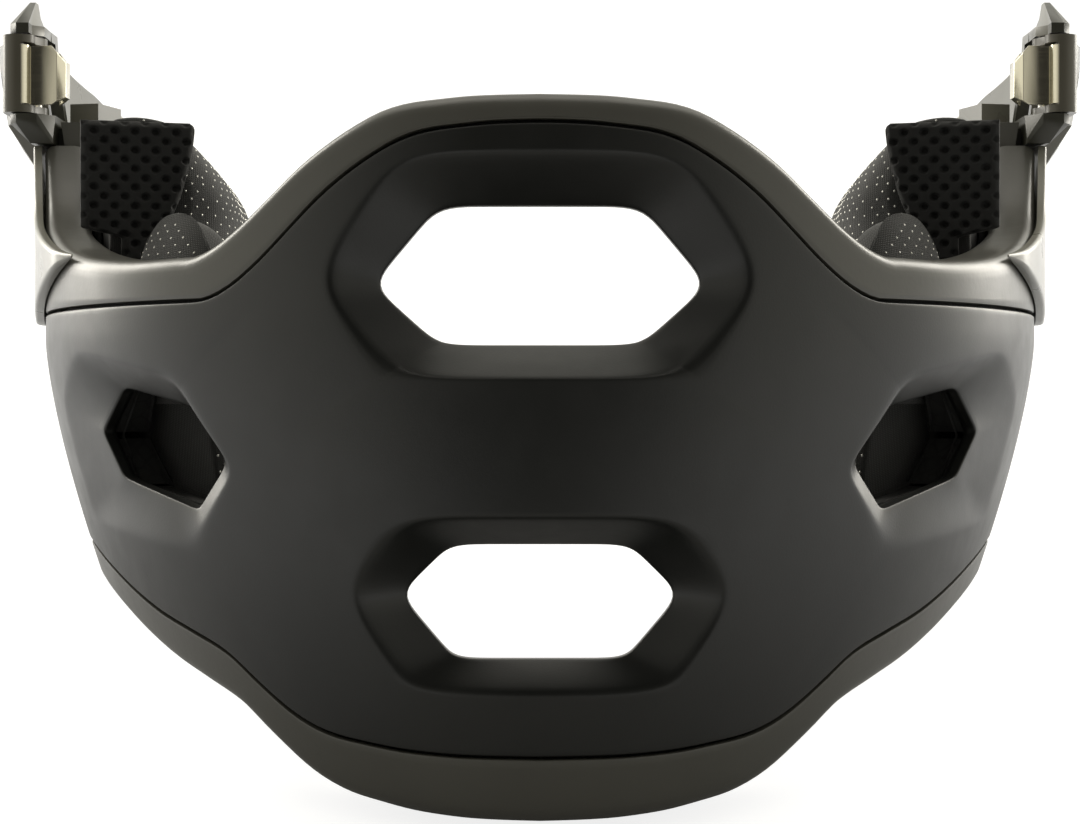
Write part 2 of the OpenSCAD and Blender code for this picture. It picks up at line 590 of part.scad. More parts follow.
// The claw is a bent steel strip: a curl round its pin, two facets and a lip that hooks rearward.
CLAW_IN = -8.2;          // reach of the claw inward from its pin
claw_z = LEVER_Z + flange_t + play;
claw_h = lever_h - 2 * flange_t - 2 * play;
function unit(v) = v / norm(v);
function left_of(v) = [-v[1], v[0]];
function corner(path, i) =
    let (
        a = unit(path[min(i + 1, len(path) - 1)] - path[min(i, len(path) - 2)]),
        b = unit(path[max(i, 1)] - path[max(i - 1, 0)])
    )
    left_of(unit(a + b)) / sqrt((1 + a * b) / 2);
function strip(path, t) =
    concat(path, backward([for (i = [0 : len(path) - 1]) path[i] + corner(path, i) * t]));
module latch_claw() color([0.85, 0.83, 0.74]) {
    path = [for (p = [[0, ring_r], [-4.4, ring_r + 0.3], [-7.3, ring_r - 0.6], [CLAW_IN, ring_r + 0.6],
                      [CLAW_IN - 0.1, ring_r + 3.6], [CLAW_IN + 1.2, ring_r + 4.8]]) claw_axis + p];
    difference() {
        translate([0, 0, claw_z]) {
            linear_extrude(claw_h) polygon(strip(path, claw_t));
            translate(claw_axis) cylinder(r = ring_r, h = claw_h);
        }
        translate([claw_axis[0], claw_axis[1], claw_z - 1]) cylinder(r = claw_pin_r + run, h = claw_h + 2);
        // The inner corners of the strip are cut back
        for (end = [0, 1])
            translate([claw_axis[0] + CLAW_IN - 1.5, claw_axis[1] + 12, claw_z + end * claw_h])
                rotate([90, 0, 0]) linear_extrude(24)
                    polygon((end == 1 ? [[-1, 1], [5, 1], [3.2, 0], [0.6, -3.2], [-1, -3.2]]
                                      : [[-1, -1], [5, -1], [3.2, 0], [0.6, 1.6], [-1, 1.6]]));
    }
}

// The pads hold to the bar by hook-and-loop patches.
SNUG = 0.35;             // room between the layers behind the pads
PATCH_GAP = 0.95;        // room between the foam and the patches
function patch_back(u) = wall(u) + PATCH_GAP;
function board_back(u) = patch_back(u) + patch_t + SNUG;
function cheek_back(u) = board_back(u) + board_t + bond;
CHEEK = [69, 138];       // stations of the front and the rear of the cheek pad
CHEEK_Z = [-16, 56.5];     // heights of its lower and its upper edge
JAW = [48, 66];
JAW_Z = [-16, 36.5];
function swell(t, p = 3) = pow(max(0, 1 - pow(abs(2 * t - 1), p)), 0.7);
function share(v, ends) = (v - ends[0]) / (ends[1] - ends[0]);
// The cheek pad is blunt in front, and falls away to its rear and upper edges.
function cheek_bulge(u, z) =
    let (a = share(u, CHEEK), h = share(z, CHEEK_Z))
    mix(0.7, 1, ease(a / 0.15)) * (1 - 0.62 * ease((a - 0.4) / 0.6)) * mix(0.22, 1, swell(h, 5));
function cheek_face(u, z) = 3 + (cheek_pad_t - 3) * cheek_bulge(u, z);
function cheek_low(u) = mix(CHEEK_Z[0], CHEEK_Z[0] + 22, ease((u - CHEEK[0] - 20) / 50));
function cheek_high(u) = CHEEK_Z[1] - 9 * ease((u - CHEEK[0] - 30) / 40);
module cheek_form(inset, back, rows) {
    us = stations(CHEEK[0] + inset, CHEEK[1] - inset, 12);
    panel(
        us, rows, function (u) cheek_low(u) + inset, function (u) cheek_high(u) - inset,
        function (u, z) -cheek_back(u) + back, function (u, z) -cheek_back(u) - cheek_face(u, z) + inset
    );
}
module cheek_pad() color([0.1, 0.1, 0.1])
    difference() {
        cheek_form(0, 0, 12);
        cheek_form(pad_skin, 2, 12);
    }
module cheek_pad_core() color([0.3, 0.3, 0.3]) cheek_form(pad_skin + bond, -bond, 12);
module pad_board() color([0.2, 0.2, 0.2])
    panel(
        stations(CHEEK[0] + 3, CHEEK[1] - 3, 10), 6,
        function (u) cheek_low(u) + 3, function (u) cheek_high(u) - 8,
        function (u, z) -board_back(u), function (u, z) -board_back(u) - board_t
    );
PATCH = [14, 20];        // length and height of a hook-and-loop patch
PATCH_AT = [[82, -6], [82, 22], [116, 20]];
PATCH_CUT = 0.7;         // share of the height that is left of the lowest patch
JAW_PATCH = [[JAW[0] + 2, JAW[1] - 2], [1.5, 20]];
module pad_patches() color([0.15, 0.15, 0.15])
    for (p = PATCH_AT)
        panel(
            stations(p[0], p[0] + PATCH[0], 4), 5,
            function (u) p[1], function (u) p[1] + PATCH[1] * (p[1] < 0 ? PATCH_CUT : 1),
            function (u, z) -patch_back(u), function (u, z) -patch_back(u) - patch_t
        );
module jaw_patch() color([0.15, 0.15, 0.15])
    panel(
        stations(JAW_PATCH[0][0], JAW_PATCH[0][1], 4), 5,
        function (u) JAW_PATCH[1][0], function (u) JAW_PATCH[1][1],
        function (u, z) -patch_back(u), function (u, z) -patch_back(u) - patch_t
    );
module jaw_pad() color([0.1, 0.1, 0.1])
    panel(
        stations(JAW[0], JAW[1], 10), 10, function (u) JAW_Z[0], function (u) JAW_Z[1],
        function (u, z) -board_back(u) - 0.4,
        function (u, z) let (a = share(u, JAW), h = share(z, JAW_Z))
            -board_back(u) - 3 - (jaw_pad_t - 3) * (0.25 + 0.75 * swell(h, 4)) * (0.3 + 0.7 * swell(a, 5))
    );

// A panel of open spacer mesh faces forward on the front end of the cheek pad.
MESH = [15, 21, 1.8];    // reach inward from the back of the pad, height and thickness of the mesh panel
MESH_TOP = 56;
MESH_OUT = 3;            // how far its upper part stays inside the skin
MESH_SILL = 3;           // room between its upper part and the bar's edge
MESH_SIDE = 0.4;         // room between its lower part and the bar's wall
MESH_PITCH = 4.2;
MESH_HOLE_R = 1.1;
MESH_AHEAD = 1.6;        // how far ahead of the pad the panel stands, in stations
module pad_mesh() color([0.08, 0.08, 0.08]) {
    u = CHEEK[0] - MESH_AHEAD;
    inner = cheek_back(u) + MESH[0];
    low_w = inner - wall(u) - MESH_SIDE;
    sill = upper_edge(u) + MESH_SILL - MESH_TOP + MESH[1];
    p = skin(u, 0, -inner);
    translate([p[0], p[1], MESH_TOP - MESH[1]]) rotate([0, 0, turn(u) - 90]) difference() {
        union() {
            cube([low_w, MESH[2], MESH[1]]);
            translate([0, 0, sill]) cube([inner - MESH_OUT, MESH[2], MESH[1] - sill]);
        }
        for (z = [MESH_PITCH / 2 : MESH_PITCH : MESH[1] - MESH_PITCH / 2]) {
            width = z > sill + MESH_PITCH / 2 ? inner - MESH_OUT : low_w;
            for (x = [MESH_PITCH / 2 : MESH_PITCH : width - MESH_PITCH / 2])
                translate([x, -1, z]) rotate([-90, 0, 0]) cylinder(r = MESH_HOLE_R, h = MESH[2] + 2);
        }
    }
}

// The bar leans back until its chin and the rear lower corners of its arms touch the plane z = 0.
chin_foot = skin(0, -chin_low, edge_r - wall(0));
heel = [0, front_reach + arm_l - CAP_T, -arm_low];
lean = atan2(heel[2] - chin_foot[2], heel[1] - chin_foot[1]);
function leaned(p) = [p[0], p[1] * cos(lean) + p[2] * sin(lean), p[2] * cos(lean) - p[1] * sin(lean)];
PROBE_STEP = 4;          // step in height at which the foremost point is looked for
foremost = min([for (z = [-chin_low + chin_band : PROBE_STEP : nose_top]) leaned(skin(0, z))[1]]);
rearmost = leaned(skin(END, cover_high(END), cover_d))[1];
module placed()
    translate([0, -(foremost + rearmost) / 2, -leaned(chin_foot)[2]]) rotate([-lean, 0, 0]) children();

module centre_part(name) {
    if (name == "face_shell") face_shell();
    if (name == "upper_trim") upper_trim();
    if (name == "lower_trim") lower_trim();
    if (name == "impact_foam") impact_foam();
}
module side_part(name) {
    if (name == "side_cover") side_cover();
    if (name == "rear_cap") rear_cap();
    if (name == "arm_frame") arm_frame();
    if (name == "latch_housing") latch_housing();
    if (name == "housing_screws") housing_screws();
    if (name == "pivot_pin") pivot_pin();
    if (name == "latch_lever") latch_lever();
    if (name == "claw_pin") claw_pin();
    if (name == "latch_claw") latch_claw();
    if (name == "locator_pin") locator_pin();
    if (name == "pad_patches") pad_patches();
    if (name == "pad_board") pad_board();
    if (name == "cheek_pad") cheek_pad();
    if (name == "cheek_pad_core") cheek_pad_core();
    if (name == "pad_mesh") pad_mesh();
    if (name == "jaw_patch") jaw_patch();
    if (name == "jaw_pad") jaw_pad();
}
for (name = CENTRE_NODES)
    placed() centre_part(name);
for (side = SIDES) for (name = SIDE_NODES)
    placed() sided(side) side_part(name);
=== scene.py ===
"""Looks of the removable chin bar of a mountain bike helmet, built around its solids."""

from math import atan2, ceil, cos, hypot, pi, radians, sin

import bmesh
import bpy
import numpy as np
from mathutils import Euler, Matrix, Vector
from mathutils.bvhtree import BVHTree


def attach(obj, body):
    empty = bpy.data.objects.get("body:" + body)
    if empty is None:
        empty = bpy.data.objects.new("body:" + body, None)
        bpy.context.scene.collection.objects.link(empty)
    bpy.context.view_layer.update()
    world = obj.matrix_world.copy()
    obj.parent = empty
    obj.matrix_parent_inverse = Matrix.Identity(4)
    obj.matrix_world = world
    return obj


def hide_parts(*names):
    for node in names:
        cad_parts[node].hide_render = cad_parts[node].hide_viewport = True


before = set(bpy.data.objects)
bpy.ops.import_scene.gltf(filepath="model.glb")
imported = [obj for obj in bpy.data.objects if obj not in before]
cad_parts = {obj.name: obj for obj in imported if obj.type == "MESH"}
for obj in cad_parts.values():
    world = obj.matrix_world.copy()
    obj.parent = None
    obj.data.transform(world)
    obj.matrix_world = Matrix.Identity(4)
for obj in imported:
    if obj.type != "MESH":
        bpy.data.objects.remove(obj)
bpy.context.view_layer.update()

MM = 0.001

# The bar as the solids have it, in millimetres. A station counts degrees round the front of the bar up to
# BEND, and then millimetres along the arm up to END.
JAW_HALF_W, FRONT_REACH, ARM_L = 100.0, 115.0, 68.0
TAIL_IN = 1.5            # how far the arms' ends turn in
CHIN_WALL, ARM_WALL = 17.0, 9.0
NOSE_TOP, CHEEK_TOP = 53.0, 27.0             # heights of the upper edge at the nose and at the cheeks
ARM_RISE, WING_TOP, WING_REAR = 28.0, 84.5, 68.0
CHIN_LOW, ARM_LOW = 70.0, 33.7               # depths of the lower edge
CHIN_TUCK, LIP_TUCK, SIDE_TUCK, ARM_FLARE = 15.5, 5.5, 12.2, 6.0
TRIM_T, COVER_T, BOND, SEAM = 1.8, 1.8, 0.3, 0.5
UPPER_BAND, CHEEK_BAND, CHIN_BAND, ARM_BAND = 4.8, 7.7, 11.5, 8.5   # heights of the trims
LIP_H, EDGE_R, CAP_T = 6.0, 2.6, 2.0
BEND = 90.0
END = BEND + ARM_L
FULL_Z, SIDE_FULL_Z = 10.0, 14.0             # heights at which the front and the sides bulge most
FLARE_Z, FLARE_IN, FLARE_OUT = 30.0, (66, 86), (110, END + 4)       # where the arms flare
BAND_AT = 60.0           # station where the lower trim has reached its height on the arm
CHEEK_AT = 38.5          # station where the fall from the nose to the cheeks ends
SEAM_AHEAD = 2.5         # stations by which the seam's fall runs ahead of the edge's
RISE = [(38.5, 0), (50, 0.01), (62, 0.1), (74, 0.29), (80, 0.41), (84, 0.57), (88, 0.83), (BEND, 1)]
LOWER = [
    (0, 0), (8, 0.008), (12, 0.02), (16, 0.039), (20, 0.07), (24, 0.105), (27, 0.152), (30, 0.226),
    (34, 0.361), (38, 0.499), (44, 0.603), (50, 0.686), (56, 0.782), (62, 0.876), (68, 0.953), (74, 1),
    (END, 1)
]
FALL = [
    (0, 1.012), (7, 1.003), (11, 0.983), (14, 0.962), (16.5, 0.92), (18.7, 0.855), (21.8, 0.737),
    (25, 0.586), (28.2, 0.4), (31.5, 0.218), (35, 0.073), (38.5, 0), (44, 0), (END, 0)
]
WALL = [(0, 0), (20, 0.05), (40, 0.3), (60, 0.65), (76, 0.95), (BEND, 1), (END, 1)]
WING = [(BEND + 14, 1), (BEND + 19, 0.9), (BEND + 27, 0.66), (BEND + 37, 0.42), (BEND + 47, 0.28),
        (BEND + 57, 0.17), (END - 3, 0), (END, -0.35)]
COVER_FRONT = (60.0, 82.0)                   # stations where the cover's slanting edge starts and ends
COVER_LOW = (17.5, 23.0)                     # heights of the low tip and of the rear lower corner
NOTCH_L = 14.0           # length of the notch that the latch stands in

CAMERA_Y = -450.0        # the camera looks straight at the level bar from this far in front of the chin
FOCAL_PX, PICTURE_W = 2735.0, 1080.0         # focal length and width of the picture, in pixels
SENSOR_W = 36.0

FRONT_LIGHT = 0.03       # what shiny surfaces see in front of the object
ROOM_LIGHT = 0.75        # the soft light all round
LIGHT_COLOUR = (1.0, 0.975, 0.87, 1)


def ease(t):
    c = np.clip(t, 0.0, 1.0)
    return c * c * (3 - 2 * c)


def between(x, low, high):
    return ease((x - low) / (high - low))


def mix(a, b, t):
    return a + (b - a) * t


def curve(x, points):
    """A smooth curve through points, the same as the solids follow."""
    i = 0
    while i < len(points) - 2 and x >= points[i + 1][0]:
        i += 1

    def slope(k):
        a, b = max(k - 1, 0), min(k + 1, len(points) - 1)
        return (points[b][1] - points[a][1]) / (points[b][0] - points[a][0])

    w = points[i + 1][0] - points[i][0]
    t = min(max((x - points[i][0]) / w, 0.0), 1.0)
    m, n, a, b = slope(i) * w, slope(i + 1) * w, points[i][1], points[i + 1][1]
    return a + t * (m + t * (3 * (b - a) - 2 * m - n + t * (2 * (a - b) + m + n)))


def plan(u):
    """The outer surface of the bar from above."""
    a, k, side = min(abs(u), BEND), max(abs(u) - BEND, 0.0), 1 if u >= 0 else -1
    x = side * (JAW_HALF_W * sin(radians(a)) - TAIL_IN * (k / ARM_L) ** 2)
    return x, FRONT_REACH * (1 - cos(radians(a))) + k


def outward(u):
    """The level direction that points out of the bar."""
    a, k, side = radians(min(abs(u), BEND)), max(abs(u) - BEND, 0.0), 1 if u >= 0 else -1
    if k > 0:
        n = (side, 2 * TAIL_IN * k / ARM_L**2)
    else:
        n = (side * FRONT_REACH * sin(a), -JAW_HALF_W * cos(a))
    size = hypot(*n)
    return n[0] / size, n[1] / size


def relief(u, z):
    """How far the surface stands out of the plan: it tucks in above and below, and flares at the arms."""
    if z > FULL_Z:
        front = -LIP_TUCK * ((z - FULL_Z) / (NOSE_TOP - FULL_Z)) ** 2
    else:
        front = -CHIN_TUCK * ((FULL_Z - z) / (FULL_Z + CHIN_LOW)) ** 2.2
    side = 0.0 if z > SIDE_FULL_Z else -SIDE_TUCK * ((SIDE_FULL_Z - z) / (SIDE_FULL_Z + ARM_LOW)) ** 1.4
    rise = ease((z - FLARE_Z) / (WING_TOP - FLARE_Z)) * between(abs(u), *FLARE_IN)
    flare = ARM_FLARE * rise * (1 - between(abs(u), *FLARE_OUT))
    return mix(front, side, ease(abs(u) / BEND)) + flare


def skin(u, z, d=0.0):
    """A point of the level bar: on its outer surface at height z, d millimetres outside it."""
    (x, y), (nx, ny) = plan(u), outward(u)
    o = relief(u, z) + d
    return x + nx * o, y + ny * o, z


def wall(u):
    return mix(CHIN_WALL, ARM_WALL, curve(abs(u), WALL))


def fall(u, ahead=0.0):
    return 0.0 if abs(u) + ahead > CHEEK_AT else curve(abs(u) + ahead, FALL)


def upper_edge(u):
    rise = ARM_RISE * curve(abs(u), RISE) if abs(u) > CHEEK_AT else 0.0
    return CHEEK_TOP + (NOSE_TOP - CHEEK_TOP) * fall(u) + rise


def upper_seam(u):
    return mix(CHEEK_TOP - CHEEK_BAND, NOSE_TOP - UPPER_BAND, fall(u, SEAM_AHEAD))


def lower_edge(u):
    return mix(-CHIN_LOW, -ARM_LOW, curve(abs(u), LOWER))


def lower_seam(u):
    return lower_edge(u) + mix(CHIN_BAND, ARM_BAND, ease(abs(u) / BAND_AT))


def cover_low(u):
    if u < COVER_FRONT[1]:
        return mix(CHEEK_TOP, COVER_LOW[0], (u - COVER_FRONT[0]) / (COVER_FRONT[1] - COVER_FRONT[0]))
    return mix(COVER_LOW[0], COVER_LOW[1], ease((u - COVER_FRONT[1]) / (END - COVER_FRONT[1])))


def cover_high(u):
    if u <= BEND:
        return upper_edge(u)
    if u <= BEND + NOTCH_L - 0.01:
        return CHEEK_TOP + ARM_RISE
    return mix(WING_REAR, WING_TOP, curve(u, WING))


def lean_angle():
    """The level bar leans back until its chin and the rear corners of its arms rest on the floor."""
    foot = skin(0, -CHIN_LOW, EDGE_R - CHIN_WALL)
    return foot, atan2(-ARM_LOW - foot[2], FRONT_REACH + ARM_L - CAP_T - foot[1])


FOOT, LEAN = lean_angle()


def leaned(p):
    return p[0], p[1] * cos(LEAN) + p[2] * sin(LEAN), p[2] * cos(LEAN) - p[1] * sin(LEAN)


FOREMOST = min(leaned(skin(0, z))[1] for z in np.arange(-CHIN_LOW + CHIN_BAND, NOSE_TOP + 0.1, 4))
REARMOST = leaned(skin(END, cover_high(END), COVER_T + BOND))[1]


def put(p):
    """A point of the level bar, in millimetres, where it lies in the scene, in metres."""
    x, y, z = leaned(p)
    return Vector((x * MM, (y - (FOREMOST + REARMOST) / 2) * MM, (z - leaned(FOOT)[2]) * MM))


def make_camera():
    data = bpy.data.cameras.new("camera")
    data.sensor_width = SENSOR_W
    data.lens = SENSOR_W * FOCAL_PX / PICTURE_W
    data.clip_start, data.clip_end = 0.01, 50.0
    camera = bpy.data.objects.new("camera", data)
    bpy.context.collection.objects.link(camera)
    camera.location = put((0, CAMERA_Y, 0))
    camera.rotation_euler = Euler((pi / 2 - LEAN, 0, 0))
    bpy.context.scene.camera = camera


make_camera()

# Materials. Lengths in them are metres.
materials = {}


def node_setup(name):
    """A new material that holds a single shader."""
    m = bpy.data.materials.new(name)
    m.use_nodes = True
    m.node_tree.nodes.clear()
    out = m.node_tree.nodes.new("ShaderNodeOutputMaterial")
    bsdf = m.node_tree.nodes.new("ShaderNodeBsdfPrincipled")
    m.node_tree.links.new(bsdf.outputs[0], out.inputs[0])
    materials[name] = m
    return m, bsdf


def add(m, kind, **inputs):
    node = m.node_tree.nodes.new(kind)
    for key, value in inputs.items():
        node.inputs[key.replace("_", " ")].default_value = value
    return node


def link(m, a, b):
    m.node_tree.links.new(a, b)


def coordinates(m):
    return add(m, "ShaderNodeTexCoord").outputs["Object"]


def noise(m, scale, detail):
    n = add(m, "ShaderNodeTexNoise", Scale=scale, Detail=detail, Roughness=0.55)
    link(m, coordinates(m), n.inputs["Vector"])
    return n.outputs["Fac"]


def ramp(m, value, low, high, a, b):
    """Map the range from low to high to the range from a to b."""
    n = add(m, "ShaderNodeMapRange")
    n.inputs["From Min"].default_value, n.inputs["From Max"].default_value = low, high
    n.inputs["To Min"].default_value, n.inputs["To Max"].default_value = a, b
    link(m, value, n.inputs["Value"])
    return n.outputs["Result"]


def clouded(m, bsdf, factor, a, b):
    """Blend the shader's colour from a to b by a factor."""
    n = m.node_tree.nodes.new("ShaderNodeMix")
    n.data_type = "RGBA"
    link(m, factor, n.inputs[0])
    n.inputs[6].default_value = (*a, 1)
    n.inputs[7].default_value = (*b, 1)
    link(m, n.outputs[2], bsdf.inputs["Base Color"])


def bump(m, bsdf, height, strength, distance):
    n = add(m, "ShaderNodeBump", Strength=strength, Distance=distance)
    link(m, height, n.inputs["Height"])
    link(m, n.outputs[0], bsdf.inputs["Normal"])


def plastic(name, dark, light, rough, grain=2600.0, grain_depth=0.00004, coat=0.0, specular=0.5):
    """Moulded plastic: a fine grain, faint clouding of its colour, and gloss that varies a little."""
    m, bsdf = node_setup(name)
    clouded(m, bsdf, ramp(m, noise(m, 45, 5), 0.35, 0.7, 0, 1), dark, light)
    link(m, ramp(m, noise(m, 160, 4), 0.3, 0.75, rough - 0.03, rough + 0.04), bsdf.inputs["Roughness"])
    bsdf.inputs["Specular IOR Level"].default_value = specular
    bsdf.inputs["Coat Weight"].default_value = coat
    bsdf.inputs["Coat Roughness"].default_value = 0.3
    bump(m, bsdf, noise(m, grain, 2), 0.35, grain_depth)


def steel(name, colour, rough, brush=(40, 40, 1800)):
    """Metal with a brushed gloss: the noise is stretched by the brush's scales."""
    m, bsdf = node_setup(name)
    bsdf.inputs["Base Color"].default_value = (*colour, 1)
    bsdf.inputs["Metallic"].default_value = 1.0
    mapping = add(m, "ShaderNodeMapping", Scale=brush)
    link(m, coordinates(m), mapping.inputs["Vector"])
    n = add(m, "ShaderNodeTexNoise", Scale=3.0, Detail=3.0)
    link(m, mapping.outputs[0], n.inputs["Vector"])
    link(m, ramp(m, n.outputs["Fac"], 0.3, 0.7, rough * 0.7, rough * 1.4), bsdf.inputs["Roughness"])
    bump(m, bsdf, n.outputs["Fac"], 0.12, 0.00003)


def cloth(name, dark, light, weave=900.0, depth=0.00012, sheen=0.25):
    """Knitted fabric: two crossed wave patterns for the knit, clouded colour and a soft sheen."""
    m, bsdf = node_setup(name)
    waves = []
    for direction in ("X", "Z"):
        w = add(m, "ShaderNodeTexWave", Scale=weave, Distortion=1.5, Detail=1.0)
        w.bands_direction = direction
        link(m, coordinates(m), w.inputs["Vector"])
        waves.append(w.outputs["Fac"])
    both = add(m, "ShaderNodeMath")
    both.operation = "MULTIPLY"
    link(m, waves[0], both.inputs[0])
    link(m, waves[1], both.inputs[1])
    clouded(m, bsdf, ramp(m, noise(m, 70, 4), 0.3, 0.7, 0, 1), dark, light)
    bsdf.inputs["Roughness"].default_value = 0.85
    bsdf.inputs["Sheen Weight"].default_value = sheen
    bsdf.inputs["Sheen Roughness"].default_value = 0.5
    bump(m, bsdf, both.outputs[0], 0.6, depth)


def foam_material(name, cells, dark, light, depth):
    """Foam with sunk borders between its cells, darkened there as painted shade."""
    m, bsdf = node_setup(name)
    v = add(m, "ShaderNodeTexVoronoi", Scale=cells)
    v.feature = "DISTANCE_TO_EDGE"
    link(m, coordinates(m), v.inputs["Vector"])
    edge = ramp(m, v.outputs["Distance"], 0.0, 0.12, 0.0, 1.0)
    # Painted shade: the colour goes dark in the sunk borders, light in the middles of the cells
    clouded(m, bsdf, edge, dark, light)
    bsdf.inputs["Roughness"].default_value = 0.7
    bump(m, bsdf, edge, 0.4, depth)


plastic("shell", (0.0055, 0.0060, 0.0054), (0.0085, 0.0088, 0.0080), 0.38)
plastic("trim", (0.050, 0.0485, 0.0415), (0.056, 0.0545, 0.0465), 0.34, grain=900.0, grain_depth=0.00005,
        coat=0.1)
plastic("cover", (0.128, 0.124, 0.103), (0.142, 0.138, 0.115), 0.3, grain=2200.0, grain_depth=0.00001,
        coat=0.5)
plastic("frame", (0.062, 0.060, 0.051), (0.068, 0.066, 0.056), 0.45)
plastic("latch_plastic", (0.026, 0.026, 0.018), (0.031, 0.030, 0.022), 0.36, grain=1500.0)
plastic("lever", (0.066, 0.060, 0.044), (0.074, 0.068, 0.050), 0.36, grain=1500.0)
plastic("board", (0.005, 0.005, 0.005), (0.008, 0.008, 0.008), 0.7, specular=0.25)
steel("claw_steel", (0.70, 0.66, 0.53), 0.17)
steel("pin_steel", (0.55, 0.54, 0.50), 0.28)
steel("screw_steel", (0.30, 0.30, 0.29), 0.35)
steel("dot_silver", (0.62, 0.61, 0.57), 0.35, brush=(400, 400, 400))
cloth("pad_fabric", (0.008, 0.008, 0.0075), (0.014, 0.014, 0.013), sheen=0.15)
cloth("mesh_fabric", (0.0035, 0.0035, 0.0032), (0.006, 0.006, 0.0056), weave=1500.0, sheen=0.04)
cloth("patch", (0.010, 0.010, 0.010), (0.016, 0.016, 0.016), weave=1900.0, depth=0.0002)
foam_material("foam", 330.0, (0.008, 0.008, 0.008), (0.014, 0.014, 0.0135), 0.00012)   # moulded beads
foam_material("pad_foam", 1600.0, (0.02, 0.02, 0.02), (0.05, 0.05, 0.05), 0.0001)      # open cells


# Mesh making
def new_object(name, points, faces, material):
    """A smooth-shaded mesh that rides on the bar."""
    mesh = bpy.data.meshes.new(name)
    mesh.from_pydata([tuple(p) for p in points], [], faces)
    mesh.validate()
    bm = bmesh.new()
    bm.from_mesh(mesh)
    bmesh.ops.recalc_face_normals(bm, faces=bm.faces)
    bm.to_mesh(mesh)
    bm.free()
    for p in mesh.polygons:
        p.use_smooth = True
    obj = bpy.data.objects.new(name, mesh)
    bpy.context.collection.objects.link(obj)
    mesh.materials.append(materials[material])
    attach(obj, "bar")
    return obj


def modifier(obj, kind, **values):
    m = obj.modifiers.new(kind.lower(), kind)
    for key, value in values.items():
        setattr(m, key, value)
    return m


def tube_faces(count, n):
    """The faces between rings of n points each."""
    return [(i * n + j, i * n + (j + 1) % n, (i + 1) * n + (j + 1) % n, (i + 1) * n + j)
            for i in range(count - 1) for j in range(n)]


def stations(a, b, step):
    """Evenly spaced numbers from a to b, at most a step apart."""
    return list(np.linspace(a, b, max(2, ceil(abs(b - a) / step) + 1)))


def mark_sharp(obj, limit):
    """Edges that turn by more than the limit stay crisp under smooth shading."""
    bm = bmesh.new()
    bm.from_mesh(obj.data)
    for e in bm.edges:
        e.smooth = not (len(e.link_faces) == 2 and e.calc_face_angle(0.0) > radians(limit))
    bm.to_mesh(obj.data)
    bm.free()


def mirrored(p, side):
    return p[0] * side, p[1], p[2]


# The face shell: a grid over the front of the bar with a patch of rings round each vent
SHELL_STEP = 1.875       # stations between two columns of the grid
SHELL_ROWS = 34
SKIN_T = 1.3             # thinner than the solid, so that it stays clear of the foam
ROLL = [(0.0, -0.9), (0.05, -0.35), (0.2, -0.1), (0.5, 0.0)]   # height and depth of the edges at the seams
APPROACH = (0.4, 0.75, 0.94)                 # rings from the hole in the grid to a vent's outline
BEVEL = (0.05, 0.3, 0.65, 0.95, 1.0)         # rings down the bevel
TUNNEL = (0.5, 2.5)      # depths of the rings below the bevel
VENT_SPAN, HALVINGS = 60, 26                 # stations searched on each side of a vent, and how finely


class Vent:
    """A vent's frame on the bar and its two outlines, the edge of its bevel and its opening."""

    def __init__(self, at, side, wide, narrow, sink, window, sharp=(14, 30)):
        self.at, self.side, self.sink, self.window, self.sharp = at, side, sink, window, sharp
        (x, y), (self.nx, self.ny) = plan(at), outward(at)
        self.origin, self.tangent = (x, y), (-self.ny, self.nx)
        self.centre = tuple(np.mean(np.array(narrow), axis=0))
        self.wide, self.narrow = self.edges(wide), self.edges(narrow)

    def edges(self, corners):
        """The distance from the centre and the direction of each side of an outline."""
        result = []
        for (x0, y0), (x1, y1) in zip(corners, corners[1:] + corners[:1]):
            nx, ny = y1 - y0, x0 - x1
            size = hypot(nx, ny)
            nx, ny = nx / size, ny / size
            h = (x0 - self.centre[0]) * nx + (y0 - self.centre[1]) * ny
            result.append((abs(h), atan2(ny * np.sign(h), nx * np.sign(h))))
        return result

    def reach(self, edges, angle, power):
        """The distance from the centre to the outline; a high power keeps its corners sharp."""
        total = sum(max(0.0, cos(angle - a) / h) ** power for h, a in edges)
        return total ** (-1.0 / power)

    def along(self, u, z):
        """How far the skin at a station lies from the vent's middle, along the vent."""
        x, y, _ = skin(u, z)
        return (x - self.origin[0]) * self.tangent[0] + (y - self.origin[1]) * self.tangent[1]

    def on_skin(self, s, z):
        """The point of the skin at a distance along the vent."""
        low, high = self.at - VENT_SPAN, self.at + VENT_SPAN
        for _ in range(HALVINGS):
            middle = (low + high) / 2
            low, high = (middle, high) if self.along(middle, z) < s else (low, middle)
        return skin(low, z)

    def inside(self, s, z, depth):
        return (self.origin[0] + self.tangent[0] * s - self.nx * depth,
                self.origin[1] + self.tangent[1] * s - self.ny * depth, z)

    def rings(self, border):
        """Points from the border of the grid's hole, over the bevel and down the tunnel, ring by ring."""
        spokes = []
        for u, z in border:
            s0 = self.along(u, z)
            angle = atan2(z - self.centre[1], s0 - self.centre[0])
            wide = self.reach(self.wide, angle, self.sharp[0])
            narrow = self.reach(self.narrow, angle, self.sharp[1])

            def at(r):
                return self.centre[0] + r * cos(angle), self.centre[1] + r * sin(angle)

            s1, z1 = at(wide)
            s2, z2 = at(narrow)
            spoke = [self.on_skin(mix(s0, s1, f), mix(z, z1, f)) for f in APPROACH]
            edge, floor = np.array(self.on_skin(s1, z1)), np.array(self.inside(s2, z2, self.sink))
            spoke += [tuple(mix(edge, floor, f)) for f in BEVEL]
            spoke += [self.inside(s2, z2, self.sink + d) for d in TUNNEL]
            spokes.append([mirrored(p, self.side) for p in spoke])
        return spokes


